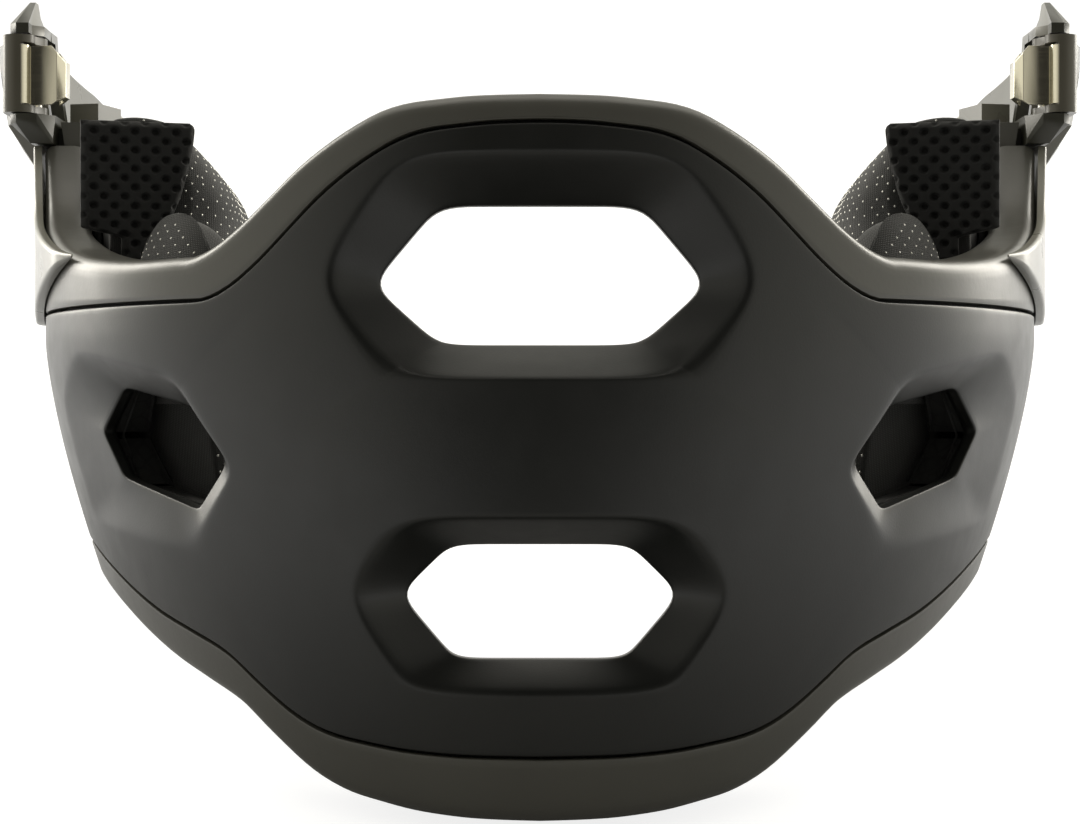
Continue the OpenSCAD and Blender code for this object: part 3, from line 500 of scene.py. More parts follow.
# Outlines in millimetres from a vent's middle: the edge of the bevel, then the opening
UPPER_VENT = Vent(
    0, 1, [(37.9, 22), (23.5, 43.2), (-23.5, 43.2), (-37.9, 22), (-24.1, 5.5), (24.1, 5.5)],
    [(28.4, 21.5), (17.2, 34.8), (-17.2, 34.8), (-28.4, 21.5), (-17, 11.3), (17, 11.3)],
    12, (-24.4, 24.4, 0.575, 1.0), (10, 16)
)
LOWER_VENT = Vent(
    0, 1, [(33.3, -30.5), (22.8, -17.5), (-22.8, -17.5), (-33.3, -30.5), (-22.1, -47), (22.1, -47)],
    [(23.9, -31), (15.2, -22.5), (-15.2, -22.5), (-23.9, -31), (-14.6, -42), (14.6, -42)],
    15, (-22.5, 22.5, 0.06, 0.42), (10, 16)
)
SIDE_WIDE = [(39.6, 2.5), (24.5, 11.3), (-10.4, 6.5), (-24.5, -10), (-10.4, -24), (32, -20.3)]
SIDE_NARROW = [(20.7, -3.5), (13.2, 4.5), (-9.4, 1), (-20.7, -8.7), (-11.5, -17.2), (13.2, -12)]
SIDE_WINDOW = (30, 69.4, 0.06, 0.9)
SIDE_VENTS = [Vent(46, side, SIDE_WIDE, SIDE_NARROW, 6, SIDE_WINDOW, (16, 30)) for side in (1, -1)]


def shell_rows(u):
    """Heights and depths of the grid's points at a station, from seam to seam."""
    low, high = lower_seam(u) + SEAM / 2, upper_seam(u) - SEAM / 2
    rows = [(low + h, d) for h, d in ROLL]
    inner_low, inner_high = low + ROLL[-1][0], high - ROLL[-1][0]
    rows += [(mix(inner_low, inner_high, k / SHELL_ROWS), 0.0) for k in range(1, SHELL_ROWS)]
    rows += [(high - h, d) for h, d in ROLL[::-1]]
    return rows


def make_shell():
    half = list(np.arange(0, BEND + 0.01, SHELL_STEP)) + stations(BEND, END - CAP_T, 4.5)[1:]
    us = [-u for u in half[:0:-1]] + half
    grid = [shell_rows(u) for u in us]
    n_rows = len(grid[0])
    points = [skin(u, z, d) for u, column in zip(us, grid) for z, d in column]
    keep = set()
    for i in range(len(us) - 1):
        for j in range(n_rows - 1):
            keep.add((i, j))
    faces = []
    for vent in [UPPER_VENT, LOWER_VENT] + SIDE_VENTS:
        u0, u1, v0, v1 = vent.window
        if vent.side < 0:
            u0, u1 = -u1, -u0
        i0, i1 = (int(np.argmin([abs(u - e) for u in us])) for e in (u0, u1))
        first = len(ROLL) - 1
        j0, j1 = first + round(v0 * SHELL_ROWS), first + round(v1 * SHELL_ROWS)
        keep -= {(i, j) for i in range(i0, i1) for j in range(j0, j1)}
        loop = [(i, j0) for i in range(i0, i1)] + [(i1, j) for j in range(j0, j1)]
        loop += [(i, j1) for i in range(i1, i0, -1)] + [(i0, j) for j in range(j1, j0, -1)]
        spokes = vent.rings([(us[i] * vent.side, grid[i][j][0]) for i, j in loop])
        depth = len(spokes[0])
        start = len(points)
        points += [p for spoke in spokes for p in spoke]
        count = len(loop)
        for k in range(count):
            n = (k + 1) % count
            a = [loop[k][0] * n_rows + loop[k][1]] + [start + k * depth + r for r in range(depth)]
            b = [loop[n][0] * n_rows + loop[n][1]] + [start + n * depth + r for r in range(depth)]
            faces += [(a[r], b[r], b[r + 1], a[r + 1]) for r in range(depth)]
    faces += [(i * n_rows + j, (i + 1) * n_rows + j, (i + 1) * n_rows + j + 1, i * n_rows + j + 1)
              for i, j in keep]
    used = sorted({k for f in faces for k in f})
    place = {k: n for n, k in enumerate(used)}
    shell = new_object("face_shell_skin", [put(points[k]) for k in used],
                       [tuple(place[k] for k in f) for f in faces], "shell")
    middle = min(shell.data.polygons, key=lambda p: (p.center - put(skin(0, 0))).length)
    if middle.normal.y > 0:
        shell.data.flip_normals()
    modifier(shell, "SUBSURF", levels=1, render_levels=1)
    modifier(shell, "SOLIDIFY", thickness=SKIN_T * MM, offset=-1.0)
    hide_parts("face_shell")


# The trims wrap over the edges, and the covers close the arms
TRIM_ROWS, COVER_ROWS = 5, 12
COVER_EDGE_R = 0.7
RIBBON_CREASE, SOLID_CREASE = 40, 70         # edges that turn by more degrees than this stay crisp
BEVEL_ANGLE, FLAT_ANGLE = 28, 2              # degrees from which edges are rounded, and up to which merged
FOAM_INSET, CORE_INSET = 1.1, 2.0            # keep the foam under the shell's bevels, and the core in its pad

# Faces of the ears, lever and arm plate that take the pale cover material as painted light, by their place in
# the level bar
EAR_PAINTED_LIT_Z, EAR_PAINTED_LIT_Y, EAR_INNER_X, EAR_REAR_Y = 72, 115, 105.7, 125.9
LEVER_FRONT_Y, PLATE_PAINTED_LIT_Z = 123, 59


def wrap_path(edge, seam_z, w, way):
    """A C-shaped section: outside from the seam, over the rounded edge, down a lip inside, and back."""
    def shape(inset, r):
        d0, d1, e = -inset, -w + inset, edge - way * inset
        path = [(d0, mix(seam_z, edge - way * EDGE_R, i / TRIM_ROWS)) for i in range(TRIM_ROWS)]
        path += [(d0 - r + r * cos(a), e - way * (r - r * sin(a))) for a in np.linspace(0, pi / 2, 6)]
        path += [(mix(d0 - r, d1 + r, f), e) for f in (0.33, 0.67)]
        path += [(d1 + r - r * cos(a), e - way * (r - r * sin(a))) for a in np.linspace(pi / 2, 0, 6)]
        return path + [(d1, edge - way * LIP_H)]

    outer, inner = shape(0, EDGE_R), shape(TRIM_T, EDGE_R - TRIM_T / 2)
    roll = [(-0.45, outer[0][1]), (-0.12, outer[0][1] + way * 0.12)]
    outer[0] = (0.0, outer[0][1] + way * 0.45)
    return roll + outer + inner[::-1]


def make_ribbon(name, us, path, material, node):
    """A solid whose section at each station is one closed path of [d, z] points."""
    rings = [[put(skin(u, z, d)) for d, z in path(u)] for u in us]
    m, count = len(rings[0]), len(rings)
    faces = tube_faces(count, m)
    faces += [tuple(range(m)), tuple(range(count * m - 1, (count - 1) * m - 1, -1))]
    obj = new_object(name, [p for ring in rings for p in ring], faces, material)
    mark_sharp(obj, RIBBON_CREASE)
    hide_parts(node)


def upper_path(u):
    return wrap_path(upper_edge(u), upper_seam(u) + SEAM / 2, wall(u), 1)


def lower_path(u):
    return wrap_path(lower_edge(u), lower_seam(u) - SEAM / 2, wall(u), -1)


def make_trims():
    fine = stations(-BEND, BEND, 1.2)
    make_ribbon("upper_trim_band", fine, upper_path, "trim", "upper_trim")
    ends = stations(BEND, END - CAP_T, 4)[1:]
    us = [-u for u in ends[::-1]] + fine + ends
    make_ribbon("lower_trim_band", us, lower_path, "trim", "lower_trim")


def panel_path(low, high, outer, inner, r):
    """The section of a panel with rounded outer edges."""
    path = [(outer - r * (1 - sin(a)), low + r * (1 - cos(a))) for a in np.linspace(0, pi / 2, 4)]
    path += [(outer, mix(low + r, high - r, i / COVER_ROWS)) for i in range(1, COVER_ROWS)]
    path += [(outer - r * (1 - cos(a)), high - r * (1 - sin(a))) for a in np.linspace(0, pi / 2, 4)]
    return path + [(inner, mix(high, low, i / COVER_ROWS)) for i in range(COVER_ROWS + 1)]


def cover_front(u):
    """Lower edge of the cover: its slanting front edge starts at the bar's upper edge."""
    t = (u - COVER_FRONT[0]) / (COVER_FRONT[1] - COVER_FRONT[0])
    return mix(upper_edge(COVER_FRONT[0]) - 0.3, COVER_LOW[0], t) if t < 1 else cover_low(u)


def cover_path(u):
    """The cover grows to its full thickness over the first four stations."""
    low, high = cover_front(abs(u)), cover_high(abs(u))
    thickness = COVER_T * (0.15 + 0.85 * ease((abs(u) - COVER_FRONT[0]) / 4))
    return panel_path(low, high, BOND + thickness, BOND, min(COVER_EDGE_R, (high - low) / 2.5))


def make_side_cover(side, word):
    us = stations(COVER_FRONT[0] + 0.2, COVER_FRONT[1], 1.4) + stations(COVER_FRONT[1], BEND, 1.4)[1:]
    us += [BEND + NOTCH_L - 1, BEND + NOTCH_L] + stations(BEND + NOTCH_L, END, 2.4)[1:]
    make_ribbon(word + "_side_cover_shell", [side * u for u in us], cover_path, "cover", word + "_side_cover")


def refined(node, name, material, width, body="bar"):
    """A copy of a solid's mesh with its flat faces cleaned and its edges rounded."""
    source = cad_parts[node]
    mesh = source.data.copy()
    mesh.name = name
    obj = bpy.data.objects.new(name, mesh)
    bpy.context.collection.objects.link(obj)
    bm = bmesh.new()
    bm.from_mesh(mesh)
    bmesh.ops.remove_doubles(bm, verts=bm.verts, dist=0.00001)
    bmesh.ops.dissolve_limit(bm, angle_limit=radians(FLAT_ANGLE), verts=bm.verts, edges=bm.edges)
    bm.to_mesh(mesh)
    bm.free()
    mesh.materials.clear()
    mesh.materials.append(materials[material])
    for p in mesh.polygons:
        p.use_smooth = True
    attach(obj, body)
    modifier(obj, "BEVEL", width=width * MM, segments=3, limit_method="ANGLE",
             angle_limit=radians(BEVEL_ANGLE), harden_normals=True)
    mark_sharp(obj, SOLID_CREASE)
    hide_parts(node)
    return obj


def level(p):
    """A point of the resting object in the level frame of the surface functions, in millimetres."""
    y, z = p.y / MM + (FOREMOST + REARMOST) / 2, p.z / MM + leaned(FOOT)[2]
    return p.x / MM, y * cos(LEAN) - z * sin(LEAN), y * sin(LEAN) + z * cos(LEAN)


def second_material(obj, name, chosen):
    """Give the faces whose level middle is chosen another material."""
    obj.data.materials.append(materials[name])
    for p in obj.data.polygons:
        if chosen(*level(p.center)):
            p.material_index = len(obj.data.materials) - 1


def make_latch(word):
    def painted_lit_ear(x, y, z):
        return z > EAR_PAINTED_LIT_Z and y > EAR_PAINTED_LIT_Y and (abs(x) < EAR_INNER_X or y > EAR_REAR_Y)

    ears = refined(word + "_latch_housing", word + "_latch_ears", "latch_plastic", 0.5)
    # Painted light: the upper rear faces of the ears take the pale cover material, where they look brightly
    # lit
    second_material(ears, "cover", painted_lit_ear)
    lever = refined(word + "_latch_lever", word + "_lever_blade", "latch_plastic", 0.4, word + "_lever")
    second_material(lever, "lever", lambda x, y, z: y <= LEVER_FRONT_Y)
    # Painted light: the lever's rear faces take the pale cover material, where they look brightly lit
    second_material(lever, "cover", lambda x, y, z: y > LEVER_FRONT_Y)
    refined(word + "_latch_claw", word + "_claw_plate", "claw_steel", 0.15, word + "_claw")
    plate = refined(word + "_arm_frame", word + "_arm_plate", "frame", 0.5)
    # Painted highlight: the arm plate's top strip takes the pale cover material
    second_material(plate, "cover", lambda x, y, z: z > PLATE_PAINTED_LIT_Z)
    refined(word + "_locator_pin", word + "_locator_peg", "pin_steel", 0.3)
    refined(word + "_rear_cap", word + "_arm_end_cap", "trim", 0.5)


def dressed(node, name):
    """A solid that is shown as it is, in one material."""
    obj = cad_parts[node]
    obj.data.materials.clear()
    obj.data.materials.append(materials[name])
    return obj


def dress_solids():
    slots = {"pivot_pin": "pin_steel", "claw_pin": "pin_steel", "housing_screws": "screw_steel",
             "pad_patches": "patch", "jaw_patch": "patch", "pad_board": "board"}
    for word in ("left", "right"):
        for node, material in slots.items():
            dressed(word + "_" + node, material)
        core = dressed(word + "_cheek_pad_core", "pad_foam")
        modifier(core, "DISPLACE", strength=-CORE_INSET * MM, mid_level=0.0)
    modifier(dressed("impact_foam", "foam"), "DISPLACE", strength=-FOAM_INSET * MM, mid_level=0.0)


make_shell()
make_trims()
for side, word in ((1, "right"), (-1, "left")):
    make_side_cover(side, word)
    make_latch(word)
dress_solids()


# The pads: crowned cushions of dotted knit on their boards, with a face of open spacer mesh
PATCH_GAP, PATCH_T, SNUG, BOARD_T = 0.95, 0.9, 0.35, 1.0
CHEEK, CHEEK_Z, CHEEK_T = (69.0, 138.0), (-16.0, 56.5), 28.0        # stations, heights and thickness
JAW, JAW_Z, JAW_T = (48.0, 66.0), (-16.0, 36.5), 15.0
CHEEK_LIFT, CHEEK_DROP = (22, 20, 50), (9, 30, 40)   # how the lower and upper edge change: by, after, over
CHEEK_THIN, THINNING = 3.0, 0.62             # least thickness of the cheek pad, and its loss to the rear
JAW_ROUND, JAW_THIN = 9.0, 2.5               # fall of the jaw pad's upper corners, and its least thickness
# Share of the full thickness by the distance from an edge: the cheek pad's top, foot and front end, and the
# jaw pad's top and foot. JAW_SIDE goes by the place along the pad.
CHEEK_HEAD = [(-9, 0.5), (0, 0.5), (1, 0.58), (4.4, 0.73), (8.3, 0.85), (12.8, 0.95), (17, 1), (200, 1)]
CHEEK_FOOT = [(-9, 0.35), (0, 0.35), (1.5, 0.5), (5, 0.72), (12, 0.92), (18, 1), (200, 1)]
CHEEK_NOSE = [(-9, 0.5), (0, 0.5), (1, 0.6), (3, 0.74), (6, 0.86), (10, 0.95), (14, 1), (99, 1)]
JAW_TOP = [(-9, 0.25), (0, 0.25), (0.8, 0.45), (2.5, 0.65), (6, 0.85), (11, 0.97), (15, 1), (200, 1)]
JAW_SIDE = [(0, 0.2), (0.04, 0.45), (0.12, 0.7), (0.26, 0.92), (0.45, 1), (0.55, 1), (0.74, 0.92),
            (0.88, 0.7), (0.96, 0.45), (1, 0.2)]
CHEEK_SINK, JAW_SINK = 0.9, 0.6              # how far a cushion's mesh starts below the face it swells to
FACE_ROWS, BACK_ROWS = 26, 10
HEAD_STEPS, FOOT_STEPS = (0.2, 0.4, 0.6, 0.8), (0.25, 0.5, 0.75)    # round the upper and the lower edge
END_STEPS = ((0.94, 0.45), (0.8, 0.85), (0.55, 1.0), (0.28, 1.0), (0.1, 1.0))   # size and reach at the ends
SWELL_FRAMES = 20
DOT_PITCH, DOT_R = (2.5, 3.0), 0.27          # dots along the bar and upward, in a diamond pattern
DOT_Z, DOT_REACH = (-14, 60), 26             # heights with dots, and how far the front end's go inward
DOT_SIDES, DOT_CROWN = 8, 0.14
DOT_RINGS = ((0.6, 0.1), (1.0, -0.05))       # size and height of the rings round a dot's middle
DOT_FRONT = 0.8          # cosine from which the cushion counts as its front end
RAY_L = 0.03             # metres


def board_back(u):
    return wall(u) + PATCH_GAP + PATCH_T + SNUG


def cheek_back(u):
    return board_back(u) + BOARD_T + BOND


def cheek_low(u):
    rise, after, over = CHEEK_LIFT
    return mix(CHEEK_Z[0], CHEEK_Z[0] + rise, ease((u - CHEEK[0] - after) / over))


def cheek_high(u):
    drop, after, over = CHEEK_DROP
    return CHEEK_Z[1] - drop * ease((u - CHEEK[0] - after) / over)


def cheek_depth(u, z):
    """Thickness of the cheek pad, with a deep fold above and a shallow one below."""
    a = (u - CHEEK[0]) / (CHEEK[1] - CHEEK[0])
    t = CHEEK_THIN + (CHEEK_T - CHEEK_THIN) * (1 - THINNING * ease((a - 0.4) / 0.6))
    t *= curve(u - CHEEK[0], CHEEK_NOSE) * curve(cheek_high(u) - z, CHEEK_HEAD)
    t *= curve(z - cheek_low(u), CHEEK_FOOT)
    upper = 1.5 * np.exp(-((z - 37.5 - 0.05 * (u - CHEEK[0])) / 1.5) ** 2) * ease((104 - u) / 25)
    return t - upper - 0.5 * np.exp(-((z - 20 + 0.1 * (u - CHEEK[0])) / 3) ** 2)


def jaw_high(u):
    a = (u - JAW[0]) / (JAW[1] - JAW[0])
    return JAW_Z[1] - JAW_ROUND * abs(2 * a - 1) ** 2.6


def jaw_depth(u, z):
    """Thickness of the jaw pad, with one upright crease."""
    a = (u - JAW[0]) / (JAW[1] - JAW[0])
    t = JAW_T * curve(a, JAW_SIDE) * curve(jaw_high(u) - z, JAW_TOP) * curve(z - JAW_Z[0], JAW_TOP)
    crease = 0.8 * np.exp(-((a - 0.24 - 0.01 * (z - 20)) / 0.07) ** 2) * ease((z - 12) / 10)
    return max(t, JAW_THIN) - crease


def jaw_low(u):
    return JAW_Z[0]


def jaw_rear(u):
    return board_back(u) + 0.4


def jaw_face(u, z):
    return jaw_rear(u) + jaw_depth(u, z)


def cheek_face(u, z):
    return cheek_back(u) + cheek_depth(u, z)


def cheek_rear(u):
    """The front end of the pad wraps round the edge of its board, up to the bar's wall."""
    return mix(wall(u) + 0.6, cheek_back(u), ease((u - 70.4) / 1.2))


def cushion_rings(us, low, high, back, front, sink, crown=0.0):
    """Closed sections (u, z, d) along the bar: the face, the top edge, the back and the lower edge."""
    rings = []
    for u in us:
        a, b, k = low(u), high(u), back(u)
        face = [mix(a, b, (1 - cos(pi * i / FACE_ROWS)) / 2) for i in range(FACE_ROWS + 1)]
        ring = [(u, z, sink - front(u, z)) for z in face]
        ring += [(u, b + 0.7 * sin(pi * f), -mix(front(u, b) - sink, k + crown, f)) for f in HEAD_STEPS]
        for i in range(BACK_ROWS + 1):
            z = mix(b, a, (i / BACK_ROWS) ** 1.6)
            ring.append((u, z, -k - crown * max(0.0, 1 - (b - z) / 8) ** 2))
        ring += [(u, a - 0.5 * sin(pi * f), -mix(k, front(u, a) - sink, f)) for f in FOOT_STEPS]
        rings.append(ring)
    return rings


def close_rings(rings, bulge):
    """Crowned ends: each end ring shrinks to its middle in steps."""
    out = []
    for ring, way in ((rings[0], -1), (rings[-1], 1)):
        mid = [sum(p[k] for p in ring) / len(ring) for k in range(3)]
        out.append([[(p[0] + way * bulge * f, mix(mid[1], p[1], s), mix(mid[2], p[2], s)) for p in ring]
                    for s, f in END_STEPS])
    return out[0][::-1] + rings + out[1]


def swollen(obj, pinned, limit):
    """Blow the cushion up with a short cloth simulation, and cap how many millimetres its fabric may move."""
    group = obj.vertex_groups.new(name="held")
    group.add(pinned, 1.0, "REPLACE")
    fabric = modifier(obj, "CLOTH")
    s = fabric.settings
    s.quality, s.mass, s.tension_stiffness, s.compression_stiffness, s.bending_stiffness = 6, 0.25, 12, 4, 0.4
    s.use_pressure, s.uniform_pressure_force, s.effector_weights.gravity = True, 4.0, 0.0
    s.vertex_group_mass = "held"
    fabric.collision_settings.use_collision = False
    scene = bpy.context.scene
    for f in range(1, SWELL_FRAMES + 1):
        scene.frame_set(f)
    done = obj.evaluated_get(bpy.context.evaluated_depsgraph_get())
    moved = [v.co.copy() for v in done.to_mesh().vertices]
    done.to_mesh_clear()
    obj.modifiers.remove(fabric)
    obj.vertex_groups.remove(group)
    scene.frame_set(1)
    for v, new in zip(obj.data.vertices, moved):
        step = new - v.co
        v.co += step * min(1.0, limit * MM / max(step.length, 1e-9))


def make_cushion(name, rings, side, node, limit, bulge):
    rings = close_rings(rings, bulge)
    n, count = len(rings[0]), len(rings)
    points = [put(mirrored(skin(u, z, d), side)) for ring in rings for u, z, d in ring]
    faces = tube_faces(count, n)
    faces += [tuple(range(n)), tuple(range((count - 1) * n, count * n))]
    obj = new_object(name, points, faces, "pad_fabric")
    # Its back and its front end, up to the first whole ring, are sewn to the board
    back = FACE_ROWS + 1 + len(HEAD_STEPS)
    held = [i * n + j for i in range(count) for j in range(back, back + BACK_ROWS + 1)]
    swollen(obj, held + list(range((len(END_STEPS) + 1) * n)), limit)
    modifier(obj, "SUBSURF", levels=1, render_levels=1)
    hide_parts(node)
    return obj


def make_dots(name, cushion, ends, low, high, rear, front, side, back_from=99):
    """Small silver discs on the knit: on a pad's face, its front end, and its back above a height."""
    tree = BVHTree.FromObject(cushion, bpy.context.evaluated_depsgraph_get())
    middle = sum((Vector(c) for c in cushion.bound_box), Vector()) / 8
    start = ends[0]

    def inward(u, z, d):
        return put(mirrored(skin(u, z, -d), side))

    ahead = (inward(start - 4, 10, 20) - inward(start, 10, 20)).normalized()
    found = []

    def place(u, z, d):
        at, normal, _, _ = tree.find_nearest(inward(u, z, d))
        normal = normal if normal.dot(at - middle) > 0 else -normal
        if normal.dot(ahead) < DOT_FRONT:
            found.append((at, normal))

    for row, z in enumerate(np.arange(*DOT_Z, DOT_PITCH[1] / 2)):
        half = (row % 2) / 2
        for u in np.arange(start + (0.5 + half) * DOT_PITCH[0], ends[1] - 1, DOT_PITCH[0]):
            if low(u) + 1 < z < high(u) - 0.3:
                place(u, z, front(u, z))
                if z > back_from:
                    place(u, z, rear(u))
        for d in np.arange(rear(start) + (0.5 + half) * DOT_PITCH[0], rear(start) + DOT_REACH, DOT_PITCH[0]):
            at, normal, _, _ = tree.ray_cast(inward(start - 5, z, d), -ahead, RAY_L)
            if at is not None:
                normal = normal if normal.dot(ahead) > 0 else -normal
                if normal.dot(ahead) >= DOT_FRONT:
                    found.append((at, normal))
    points, faces = [], []
    for at, normal in found:
        turn = normal.to_track_quat("Z", "Y")
        first = len(points)
        inner, outer = first + 1, first + 1 + DOT_SIDES
        points.append(at + normal * DOT_CROWN * MM)
        for ring, rise in DOT_RINGS:
            points += [at + turn @ Vector((cos(a) * DOT_R * ring * MM, sin(a) * DOT_R * ring * MM, 0))
                       + normal * rise * MM for a in np.linspace(0, 2 * pi, DOT_SIDES + 1)[:-1]]
        pairs = [(i, (i + 1) % DOT_SIDES) for i in range(DOT_SIDES)]
        faces += [(first, inner + i, inner + k) for i, k in pairs]
        faces += [(inner + i, outer + i, outer + k, inner + k) for i, k in pairs]
    new_object(name, points, faces, "dot_silver")


def make_pads(side, word):
    us = [CHEEK[0] + 0.35, CHEEK[0] + 1.2, 71.0, 71.7] + stations(CHEEK[0] + 4, CHEEK[1] - 2.6, 2.4)
    us += [CHEEK[1] - 1.2, CHEEK[1] - 0.5]
    rings = cushion_rings(us, cheek_low, cheek_high, cheek_rear, cheek_face, CHEEK_SINK)
    cheek = make_cushion(word + "_cheek_cushion", rings, side, word + "_cheek_pad", 1.6, 0.3)
    us = [JAW[0] + 0.5, JAW[0] + 1.2] + stations(JAW[0] + 2, JAW[1] - 2, 1.3) + [JAW[1] - 1.2, JAW[1] - 0.5]
    rings = cushion_rings(us, jaw_low, jaw_high, jaw_rear, jaw_face, JAW_SINK, 2.2)
    jaw = make_cushion(word + "_jaw_cushion", rings, side, word + "_jaw_pad", 1.2, 0.4)
    bpy.context.view_layer.update()
    make_dots(word + "_cheek_dots", cheek, CHEEK, cheek_low, cheek_high, cheek_back, cheek_face, side)
    make_dots(word + "_jaw_dots", jaw, JAW, jaw_low, jaw_high, jaw_rear, jaw_face, side, 15)
    make_mesh_panel(side, word)


# The mesh panel: a thick knit with two staggered sets of open cells
MESH_REACH, MESH_TOP, MESH_FOOT, MESH_T, MESH_AHEAD, MESH_OUT = 11.5, 56.0, 28.0, 1.7, 1.6, 3.2
MESH_INNER = [(28, 9.5), (33, 8.5), (36, 6), (38, 4.6), (41, 3.2), (45, 2), (50, 0.8), (54.5, 0.2),
              (55.5, 0.5), (56, 1.2), (60, 2)]          # heights and places of its inner edge
MESH_STEP = (33.4, 35.6)                     # heights between which it widens, above the bar's edge
MESH_CELL = (4.0, 3.6)   # spacing of the cells across and upward; a second set sits between them
MESH_HOLE = (0.95, 0.72)                     # half width and half height of a cell
MESH_PIT, MESH_RIM = 1.05, 0.9               # depths of a cell and of the panel's rounded border
MESH_COLUMNS, MESH_ROWS = 150, 135


def mesh_pit(s, z):
    """How deep a place lies in a cell, from 0 to 1."""
    pit = 0.0
    for k in (0, 0.5):
        x, y = (s / MESH_CELL[0] + k) % 1 - 0.5, (z / MESH_CELL[1] + k) % 1 - 0.5
        off = hypot(x * MESH_CELL[0] / MESH_HOLE[0], y * MESH_CELL[1] / MESH_HOLE[1])
        pit = max(pit, 1 - ease((off - 0.55) / 0.6))
    return pit


def make_mesh_panel(side, word):
    u = CHEEK[0] - MESH_AHEAD
    reach = cheek_back(u) + MESH_REACH
    n = outward(u)
    start = skin(u, 0, -reach)
    low_w, high_w = reach - wall(u) - 0.5, reach - MESH_OUT

    def at(s, z, d):
        return put(mirrored((start[0] + n[0] * s - n[1] * d, start[1] + n[1] * s + n[0] * d, z), side))

    rows = []
    for j in range(MESH_ROWS + 1):
        z = mix(MESH_FOOT, MESH_TOP, j / MESH_ROWS)
        left, right = curve(z, MESH_INNER), mix(low_w, high_w, between(z, *MESH_STEP))
        rows.append([(mix(left, right, i / MESH_COLUMNS), z, left, right) for i in range(MESH_COLUMNS + 1)])
    front, rear = [], []
    for s, z, left, right in [place for row in rows for place in row]:
        border = min(s - left, right - s, z - MESH_FOOT, MESH_TOP - z)
        rim = MESH_RIM * (1 - min(1.0, border / 1.3)) ** 2
        front.append(at(s, z, 0.25 + rim + MESH_PIT * mesh_pit(s, z) * min(1.0, border / 1.5)))
        rear.append(at(s, z, MESH_T))
    w, size = MESH_COLUMNS + 1, len(front)
    faces = [(j * w + i, j * w + i + 1, (j + 1) * w + i + 1, (j + 1) * w + i)
             for j in range(MESH_ROWS) for i in range(MESH_COLUMNS)]
    faces += [tuple(size + k for k in f[::-1]) for f in faces]
    rim = list(range(w)) + [j * w + MESH_COLUMNS for j in range(1, MESH_ROWS + 1)]
    rim += [MESH_ROWS * w + i for i in range(MESH_COLUMNS - 1, -1, -1)]
    rim += [j * w for j in range(MESH_ROWS - 1, 0, -1)]
    faces += [(a, b, size + b, size + a) for a, b in zip(rim, rim[1:] + rim[:1])]
    panel = new_object(word + "_mesh_face", front + rear, faces, "mesh_fabric")
    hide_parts(word + "_pad_mesh")


for side, word in ((1, "right"), (-1, "left")):
    make_pads(side, word)


# The stage and the light
FLOOR_HALF, FLOOR_GREY, FLOOR_GLOW = 3.0, 0.3, 0.82
LAMP_COLOUR = (1, 0.96, 0.87)


def nodes_of(tree):
    """A short way to add nodes: sockets given in order, each a value or another node's socket."""
    def make(kind, *sources, operation=None):
        node = tree.nodes.new(kind)
        if operation:
            node.operation = operation
        for socket, source in zip(node.inputs, sources):
            if isinstance(source, bpy.types.NodeSocket):
                tree.links.new(source, socket)
            elif source is not None:
                socket.default_value = source
        return node.outputs[0]

    return make


def mirror_rays(tree):
    """Two sockets: 1 for the camera's rays, and 1 for rays that a shiny or clear surface sends out."""
    path = tree.nodes.new("ShaderNodeLightPath")
    either = tree.nodes.new("ShaderNodeMath")
    either.operation = "MAXIMUM"
    tree.links.new(path.outputs["Is Glossy Ray"], either.inputs[0])
    tree.links.new(path.outputs["Is Transmission Ray"], either.inputs[1])
    return path.outputs["Is Camera Ray"], either.outputs[0]


def graded(tree, make, source, low, high, behind):
    """Grows from FRONT_LIGHT to 1 as a direction or a place moves to either side, or behind the object."""
    split = tree.nodes.new("ShaderNodeSeparateXYZ")
    tree.links.new(source, split.inputs[0])
    aside = make("ShaderNodeMath", split.outputs["X"], operation="ABSOLUTE")
    back = make("ShaderNodeMath", split.outputs["Y"], 0.0, operation="MAXIMUM")
    back = make("ShaderNodeMath", back, behind, operation="MULTIPLY")
    total = make("ShaderNodeMath", aside, back, operation="ADD")
    return make("ShaderNodeMapRange", total, low, high, FRONT_LIGHT, 1.0)


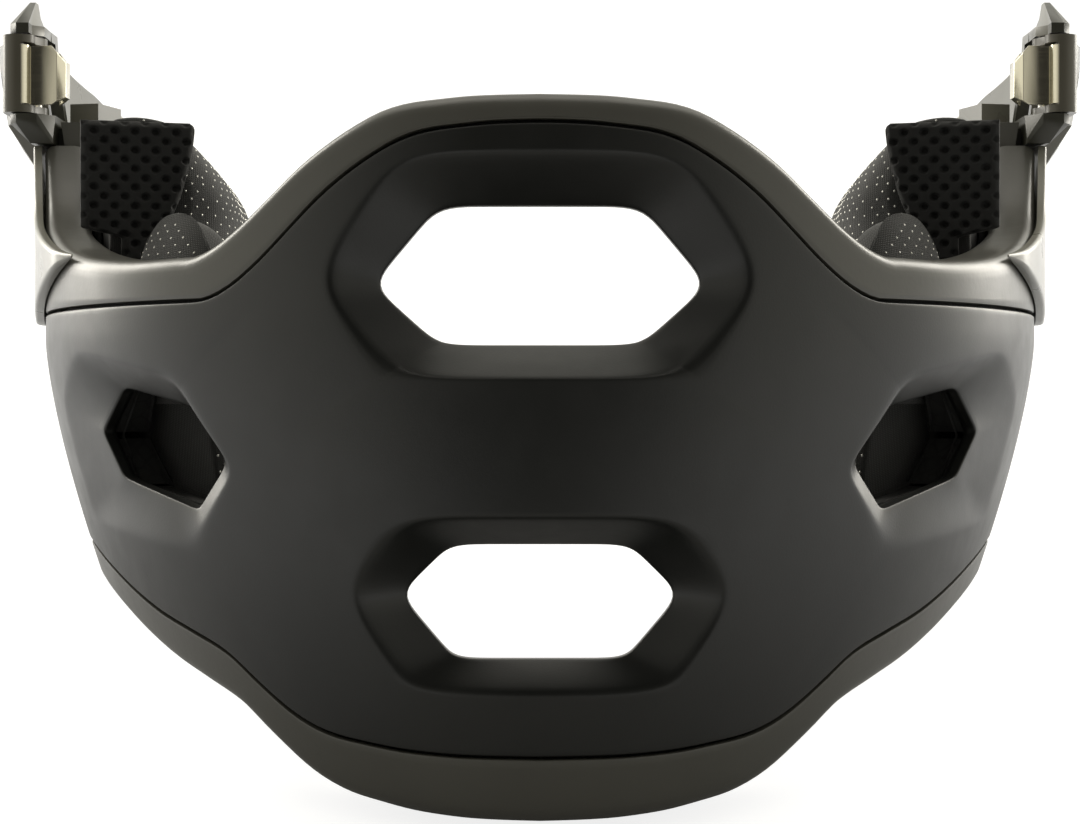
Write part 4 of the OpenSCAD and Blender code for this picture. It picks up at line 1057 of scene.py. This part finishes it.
def make_stage():
    """A white floor and surround, which shiny surfaces see dimmer in front of the object."""
    mesh = bpy.data.meshes.new("floor")
    corners = [(x * FLOOR_HALF, y * FLOOR_HALF, 0) for x, y in ((-1, -1), (1, -1), (1, 1), (-1, 1))]
    mesh.from_pydata(corners, [], [(0, 1, 2, 3)])
    floor = bpy.data.objects.new("floor", mesh)
    bpy.context.collection.objects.link(floor)
    m, bsdf = node_setup("floor_white")
    bsdf.inputs["Base Color"].default_value = (FLOOR_GREY, FLOOR_GREY, FLOOR_GREY, 1)
    bsdf.inputs["Roughness"].default_value = 0.9
    bsdf.inputs["Emission Color"].default_value = (1, 1, 1, 1)
    make = nodes_of(m.node_tree)
    seen, mirrored_ray = mirror_rays(m.node_tree)
    grade = graded(m.node_tree, make, coordinates(m), low=0.04, high=0.3, behind=1.0)
    shown = make("ShaderNodeMath", mirrored_ray, grade, operation="MULTIPLY")
    shown = make("ShaderNodeMath", shown, seen, operation="MAXIMUM")
    shown = make("ShaderNodeMath", shown, FLOOR_GLOW, operation="MULTIPLY")
    link(m, shown, bsdf.inputs["Emission Strength"])
    mesh.materials.append(m)
    world = bpy.data.worlds.new("world")
    world.use_nodes = True
    bpy.context.scene.world = world
    tree = world.node_tree
    tree.nodes.clear()
    make = nodes_of(tree)
    seen, mirrored_ray = mirror_rays(tree)
    direction = tree.nodes.new("ShaderNodeTexCoord").outputs["Generated"]
    grade = graded(tree, make, direction, low=0.4, high=0.95, behind=0.9)
    light = make("ShaderNodeBackground", LIGHT_COLOUR, ROOM_LIGHT)
    shine = make("ShaderNodeBackground", LIGHT_COLOUR, grade)
    white = make("ShaderNodeBackground", (1, 1, 1, 1), 1.0)
    room = make("ShaderNodeMixShader", mirrored_ray, light, shine)
    out = tree.nodes.new("ShaderNodeOutputWorld")
    tree.links.new(make("ShaderNodeMixShader", seen, room, white), out.inputs["Surface"])


def area_light(name, at, towards, size, power):
    """A lamp whose place and size are in metres and whose power is in watts."""
    data = bpy.data.lights.new(name, "AREA")
    data.shape = "RECTANGLE"
    data.size, data.size_y = size
    data.energy = power
    data.color = LAMP_COLOUR
    obj = bpy.data.objects.new(name, data)
    bpy.context.collection.objects.link(obj)
    obj.location = at
    obj.rotation_euler = (Vector(towards) - Vector(at)).to_track_quat("-Z", "Y").to_euler()


make_stage()
area_light("top_light", (0, 0.3, 0.9), (0, 0, 0.05), (0.9, 0.5), 2.0)
for side, word in ((-1, "left"), (1, "right")):
    area_light(word + "_light", (side * 0.78, 0.62, 0.34), (0, 0, 0.07), (0.4, 0.9), 8)
bpy.context.scene.view_settings.view_transform = "Standard"
